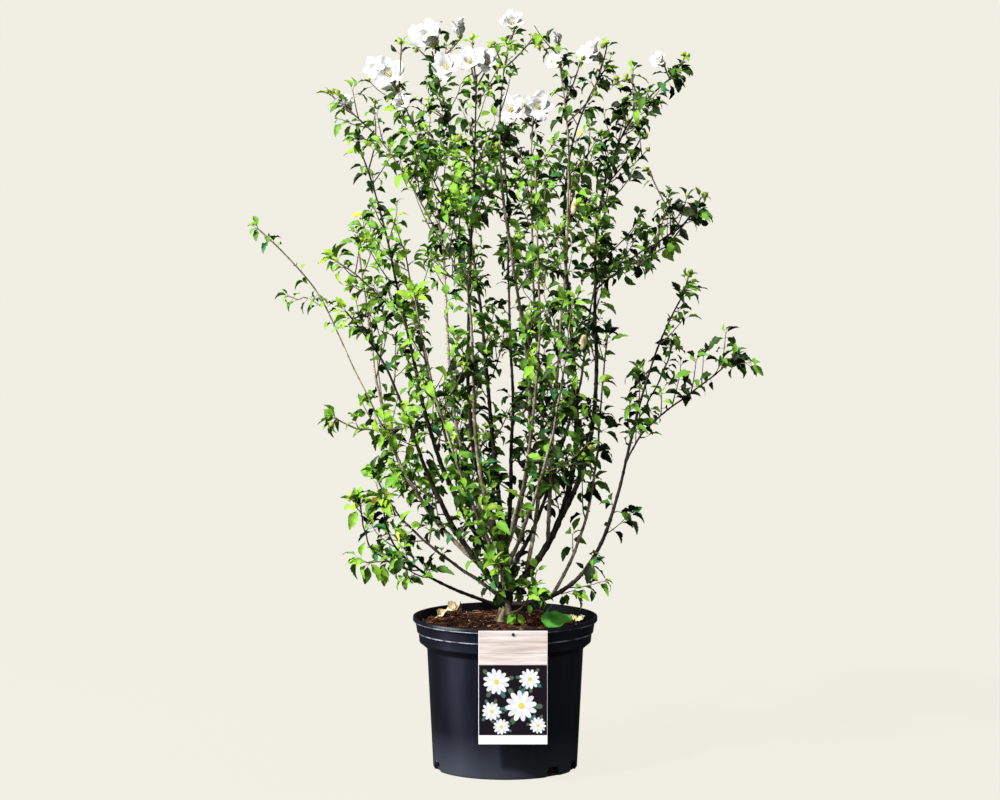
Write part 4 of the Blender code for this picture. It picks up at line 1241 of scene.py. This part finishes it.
def scatterSoil():
    dice = random.Random(5)
    piles = {tone: Pile() for tone in soilTones}
    for count, tones, odds, lengths, rise, height, thickness in soilBits:
        for _ in range(count):
            pile, length = piles[dice.choices(tones, odds)[0]], dice.uniform(*lengths)
            spot = soilSpot(dice) + skyward * (length * rise + height)
            lump(pile, spot, length, length * thickness, dice)
    for _ in range(soil["fibres"]):
        spot = soilSpot(dice) + skyward * 0.003
        turn, length = dice.uniform(0, math.tau), dice.uniform(0.008, 0.026)
        way = np.array(polar(1, turn, 0))
        bend = np.array((-way[1], way[0], 0.3)) * length * dice.uniform(-0.3, 0.3)
        route = [spot, spot + way * length * 0.5 + bend, spot + way * length]
        if max(np.hypot(p[0], p[1]) for p in route) < soil["radius"] - 0.003:
            piles["soilPale"].add(*tube(route, soil["fibreRadii"], 4))
    made = []
    for tone, pile in piles.items():
        shade = tuple(part * 0.6 for part in soilTones[tone])
        grit = mottledMaterial(tone + "Crumb", shade, soilTones[tone], 90, 0.92, 0.15)
        made.append(pile.piece(tone, grit, smooth=False))
    return made


def lyingLeaf(pile, dice, foot, way, length, width, curl, ruffle, tilt):
    # a broad blade on the soil, with its edges curled up, and tilted to show its face to the front
    rows, columns = 11, 9
    u = np.linspace(0, 1, rows)[:, None]
    v = np.linspace(-1, 1, columns)[None]
    way = unit(np.array(way, float))
    side = turnedRound(unit(np.cross(skyward, way)), way, math.radians(tilt))
    lobes = 1 + 0.17 * np.sin(u * 15)
    half = width / 2 * np.sin(np.pi * np.clip(u * 0.94 + 0.03, 0, 1) ** 0.75) * lobes
    lift = curl * length * (np.abs(v) ** 1.6 * (0.5 + 0.5 * u) + 0.5 * u**3)
    lift = lift + ruffle * length * np.sin(u * 9 + v * 5 + dice.uniform(0, 6)) * np.abs(v)
    pull = 1 - curl * 0.9 * np.abs(v)
    place = np.array(foot) + (u * length)[..., None] * way + (v * half * pull)[..., None] * side
    place = place + (lift + 0 * u)[..., None] * np.cross(way, side)
    pile.add(place.reshape(-1, 3), gridTriangles(rows, columns))


# foot, way it lies, length, width, curl, ruffle and tilt of the leaves on the soil
deadLeaves = (
    ((-0.118, 0.074, 0.2520), (1.0, 0.10, 0.22), 0.044, 0.026, 0.30, 0.14, 30),
    ((-0.078, 0.078, 0.2560), (-0.8, -0.4, 0.30), 0.028, 0.020, 0.40, 0.18, 20),
)
greenLeaf = (0.062, -0.050, 0.2640), (1.0, 0.10, 0.02), 0.054, 0.046, 0.04, 0.03, 34
greenStalk = (0.064, -0.050, 0.2640), (0.070, -0.02, 0.272), (0.082, 0.01, 0.283)
flakePlaces = (0.112, -0.012), (0.121, -0.022), (0.107, -0.002), (0.125, -0.010)
flakeSizes = 0.015, 0.012, 0.20, 0.10, 45

# the columns are those of the crown's pieces
lyingPieces = (
    ("deadLeaves", "deadLeaf", (0.38, 0.27, 0.14), (0.74, 0.63, 0.44), 90, 0.8, 0.2, 0.5, 0.001),
    ("fallenLeaf", "fallenGreenLeaf", (0.03, 0.15, 0.016), (0.08, 0.32, 0.03), 60, 0.45, 0.4, 0.3, 0.001),
    ("yellowFlakes", "yellowFlake", (0.58, 0.54, 0.20), (0.80, 0.78, 0.46), 120, 0.7),
)


def fallenLeaves():
    dice = random.Random(9)
    piles = {row[0]: Pile() for row in lyingPieces}
    for row in deadLeaves:
        lyingLeaf(piles["deadLeaves"], dice, *row)
    lyingLeaf(piles["fallenLeaf"], dice, *greenLeaf)
    piles["fallenLeaf"].add(*tube(greenStalk, [0.0011] * 3, 5))
    for x, y in flakePlaces:
        way = (dice.uniform(0.5, 1), dice.uniform(-0.3, 0.3), 0.25)
        lyingLeaf(piles["yellowFlakes"], dice, (x, y, 0.2600), way, *flakeSizes)
    return inkedPieces(piles, lyingPieces)


makeSoil()
print("soil")


# Label card: a pale boarded top, a dark panel with simple many-petalled flowers and leaves, a white foot
label = {
    "width": 0.117,
    "height": 0.1945,
    "middleX": 0.013,
    "top": 0.2635,
    "back": -0.1603,
    "thick": 0.0010,
    "boardShare": 0.30,
    "footShare": 0.082,
    "edge": 0.0008,
    "bevel": 0.0004,
    "ink": 0.0001,
    "plate": 0.0002,
    "rim": 0.002,
    "seamShares": (0.34, 0.67),
    "seamWidth": 0.0005,
    "pinHeight": 0.2575,
    "pinRadius": 0.0025,
    "pinLength": 0.0030,
    "white": (0.84, 0.84, 0.83),
    "plum": (0.008, 0.005, 0.009),
    "seam": (0.34, 0.26, 0.23),
    "pin": (0.03, 0.025, 0.02),
    "boards": ((0.52, 0.42, 0.38), (0.80, 0.73, 0.69)),
}


def cardMaterial(name, colour):
    shade = tuple(part * 0.92 for part in colour)
    return mottledMaterial(name, shade, colour, 30, 0.5, 0.2)


def boardMaterial():
    # pale boards that run across, with a soft grain
    look = Look("cardBoardsInk", 0.45)
    grain, _ = look.mottled(70, 0.32, 0.70, (0.22, 1, 2.4))
    look.feed("Base Color", look.blended(grain, *label["boards"]))
    return look.material


def cardPiece(name, material, bevel=0.0):
    # finishes the solid that was just added
    card = justAdded(name)
    bpy.ops.object.transform_apply(location=True, rotation=True, scale=True)
    if bevel:
        rounded = card.modifiers.new("corners", "BEVEL")
        rounded.width = bevel
        rounded.segments = 3
        bpy.ops.object.modifier_apply(modifier=rounded.name)
    card.data.materials.append(material)
    standFor("label_card", ["label_card"], card)


def labelBox(name, sides, low, high, near, far, material, bevel=0.0):
    left, right = sides
    bpy.ops.mesh.primitive_cube_add(size=1, location=((left + right) / 2, (near + far) / 2, (low + high) / 2))
    bpy.context.object.scale = (right - left, abs(far - near), high - low)
    cardPiece(name, material, bevel)


def flatShape(pile, outline, front):
    # a thin plate whose outline is given in x and z
    count = len(outline)
    middle = np.mean(outline, axis=0)
    back = front + label["plate"]
    points = [(x, front, z) for x, z in outline] + [(x, back, z) for x, z in outline]
    points += [(middle[0], front, middle[1]), (middle[0], back, middle[1])]
    triangles = []
    for j in range(count):
        k = (j + 1) % count
        triangles += [(2 * count, j, k), (2 * count + 1, count + k, count + j)]
        triangles += [(j, count + k, k), (j, count + j, count + k)]
    pile.add(points, triangles)


def petalOutline(x, z, turn, length, wide):
    cosine, sine = math.cos(turn), math.sin(turn)
    made = []
    for t in evenTurns(12):
        along = length * (0.5 - 0.5 * math.cos(t))
        across = wide * math.sin(t) * (0.5 + 0.5 * along / length)
        made.append((x + along * cosine - across * sine, z + along * sine + across * cosine))
    return made


def discOutline(x, z, radius):
    return [(x + math.cos(t) * radius, z + math.sin(t) * radius) for t in evenTurns(14)]


def makeLabel():
    middle, half, edge, ink = label["middleX"], label["width"] / 2, label["edge"], label["ink"]
    outer, inner = (middle - half, middle + half), (middle - half + edge, middle + half - edge)
    low, high = label["top"] - label["height"], label["top"]
    back, front = label["back"], label["back"] - label["thick"]
    boardLow = high - label["height"] * label["boardShare"]
    panelLow = low + label["height"] * label["footShare"]
    inks = "white", "plum", "seam"
    white, plum, seam = (cardMaterial("card" + name.title(), label[name]) for name in inks)
    labelBox("cardBlank", outer, low, high, front, back, white, label["bevel"])
    labelBox("cardBoards", inner, boardLow, high - edge, front - ink, front, boardMaterial())
    labelBox("cardPanel", inner, panelLow, boardLow, front - ink, front, plum)
    for share in label["seamShares"]:
        z = boardLow + (high - boardLow) * share
        name = f"boardSeam{int(share * 100)}"
        labelBox(name, inner, z, z + label["seamWidth"], front - 2 * ink, front, seam)
    printLabel(outer[0], panelLow, boardLow, front - 4 * ink)
    bpy.ops.mesh.primitive_cylinder_add(
        vertices=24, radius=label["pinRadius"], depth=label["pinLength"],
        location=(middle, front - 6 * ink, label["pinHeight"]), rotation=(math.radians(90), 0, 0),
    )
    cardPiece("cardPin", cardMaterial("pinDark", label["pin"]), 0.0006)


# where each flower of the print stands in its panel, across and up, and its reach
printedFlowers = (
    (0.26, 0.76, 0.0235), (0.74, 0.80, 0.0185), (0.62, 0.42, 0.0280), (0.19, 0.34, 0.0175),
    (0.33, 0.12, 0.0150), (0.86, 0.14, 0.0150),
)
# piece and colour of each kind of print
prints = {
    "printedPetals": (0.84, 0.85, 0.86),
    "printedPetalShade": (0.66, 0.68, 0.72),
    "printedHearts": (0.74, 0.58, 0.12),
    "printedLeaves": (0.075, 0.120, 0.080),
    "printedTealLeaves": (0.050, 0.150, 0.125),
}


def printLabel(left, panelLow, boardLow, printed):
    dice, rim, right = random.Random(3), label["rim"], left + label["width"]
    piles = {name: Pile() for name in prints}
    for shareX, shareZ, reach in printedFlowers:
        x, z = left + label["width"] * shareX, panelLow + (boardLow - panelLow) * shareZ
        spin = dice.uniform(0, 1)
        for k, step in enumerate(evenTurns(6)):
            turn = spin + step + dice.uniform(-0.3, 0.3)
            stemX, stemZ = x + math.cos(turn) * reach * 0.7, z + math.sin(turn) * reach * 0.7
            leaf = petalOutline(stemX, stemZ, turn, reach * 0.60, reach * 0.20)
            across, upward = zip(*leaf)
            inPanel = left + rim < min(across) and max(across) < right - rim
            if inPanel and panelLow + rim < min(upward) and max(upward) < boardLow - rim:
                flatShape(piles["printedTealLeaves" if k % 2 else "printedLeaves"], leaf, printed + 0.0002)
        for k, step in enumerate(evenTurns(12)):
            petal = petalOutline(x, z, spin + step, reach * dice.uniform(0.90, 1.0), reach * 0.21)
            name, rise = ("printedPetalShade", 0.0) if k % 2 else ("printedPetals", label["ink"])
            flatShape(piles[name], petal, printed - rise)
        flatShape(piles["printedHearts"], discOutline(x, z, reach * 0.20), printed - 0.0003)
    for name, colour in prints.items():
        piece = piles[name].piece(name, cardMaterial(name + "Ink", colour), smooth=False)
        standFor("label_card", ["label_card"], piece)


makeLabel()
print("label")


# Room: floor, light and camera
room = {
    "floorSize": 1600,
    "cream": (0.880, 0.855, 0.768),
    "floorColour": (0.020, 0.020, 0.018),
    "floorGlow": 0.956,
    "sunStrength": 5.6,
    "sunAngle": 5,
    "sunTilt": 46,
    "sunTurn": -48,
    "fillStrength": 0.58,
    "skyShine": 0.11,
    "softboxPlace": (-2.6, -0.7, 1.1),
    "softboxTurns": (0, -80, 15),
    "softboxSize": (2.4, 1.5),
    "softboxStrength": 96,
}

camera = {"place": (-0.009, -6.0, 1.1938), "pitch": 5.2703, "lens": 125.71}


def makeFloor():
    bpy.ops.mesh.primitive_plane_add(size=room["floorSize"], location=(0, 0, -0.0005))
    floor = justAdded("paleFloor")
    look = Look("floorCream", 1.0, room["floorColour"], specular=0.0)
    look.shader["Emission Color"].default_value = (*room["cream"], 1)
    seen = look.node("LightPath").outputs["Is Camera Ray"]
    look.feed("Emission Strength", look.scaled(seen, room["floorGlow"]))
    floor.data.materials.append(look.material)


def makeSky():
    # the light's own sky, a dimmer one in reflections, and the plain backdrop for the camera
    world = bpy.data.worlds.new("cream")
    bpy.context.scene.world = world
    world.use_nodes = True
    nodes, links = world.node_tree.nodes, world.node_tree.links
    nodes.clear()
    path = nodes.new("ShaderNodeLightPath").outputs
    seen = None
    for ray, colour, strength in (
        (None, (0.97, 0.98, 0.98), room["fillStrength"]),
        ("Is Glossy Ray", (0.90, 0.95, 1.0), room["skyShine"]),
        ("Is Camera Ray", room["cream"], 1.0),
    ):
        back = nodes.new("ShaderNodeBackground")
        back.inputs["Color"].default_value = (*colour, 1)
        back.inputs["Strength"].default_value = strength
        if ray:
            mix = nodes.new("ShaderNodeMixShader")
            for value, socket in ((path[ray], "Fac"), (seen, 1), (back.outputs[0], 2)):
                links.new(value, mix.inputs[socket])
            seen = mix.outputs[0]
        else:
            seen = back.outputs[0]
    links.new(seen, nodes.new("ShaderNodeOutputWorld").inputs["Surface"])


def makeLights():
    bpy.ops.object.light_add(type="SUN", location=(-2, -2.5, 3))
    sun = justAdded("keySun")
    sun.rotation_euler = (math.radians(room["sunTilt"]), 0, math.radians(room["sunTurn"]))
    sun.data.energy = room["sunStrength"]
    sun.data.angle = math.radians(room["sunAngle"])
    turns = [math.radians(turn) for turn in room["softboxTurns"]]
    bpy.ops.object.light_add(type="AREA", location=room["softboxPlace"], rotation=turns)
    softbox = justAdded("leftSoftbox")
    softbox.data.shape = "RECTANGLE"
    softbox.data.size, softbox.data.size_y = room["softboxSize"]
    softbox.data.energy = room["softboxStrength"]
    softbox.visible_camera = False


def makeCamera():
    turns = (math.radians(90 - camera["pitch"]), 0, 0)
    bpy.ops.object.camera_add(location=camera["place"], rotation=turns)
    view = justAdded("photoView")
    view.data.lens = camera["lens"]
    view.data.sensor_width = 36
    view.data.clip_end = 2000
    bpy.context.scene.camera = view
    bpy.context.scene.view_settings.view_transform = "Standard"


makeFloor()
makeSky()
makeLights()
makeCamera()
print("room")
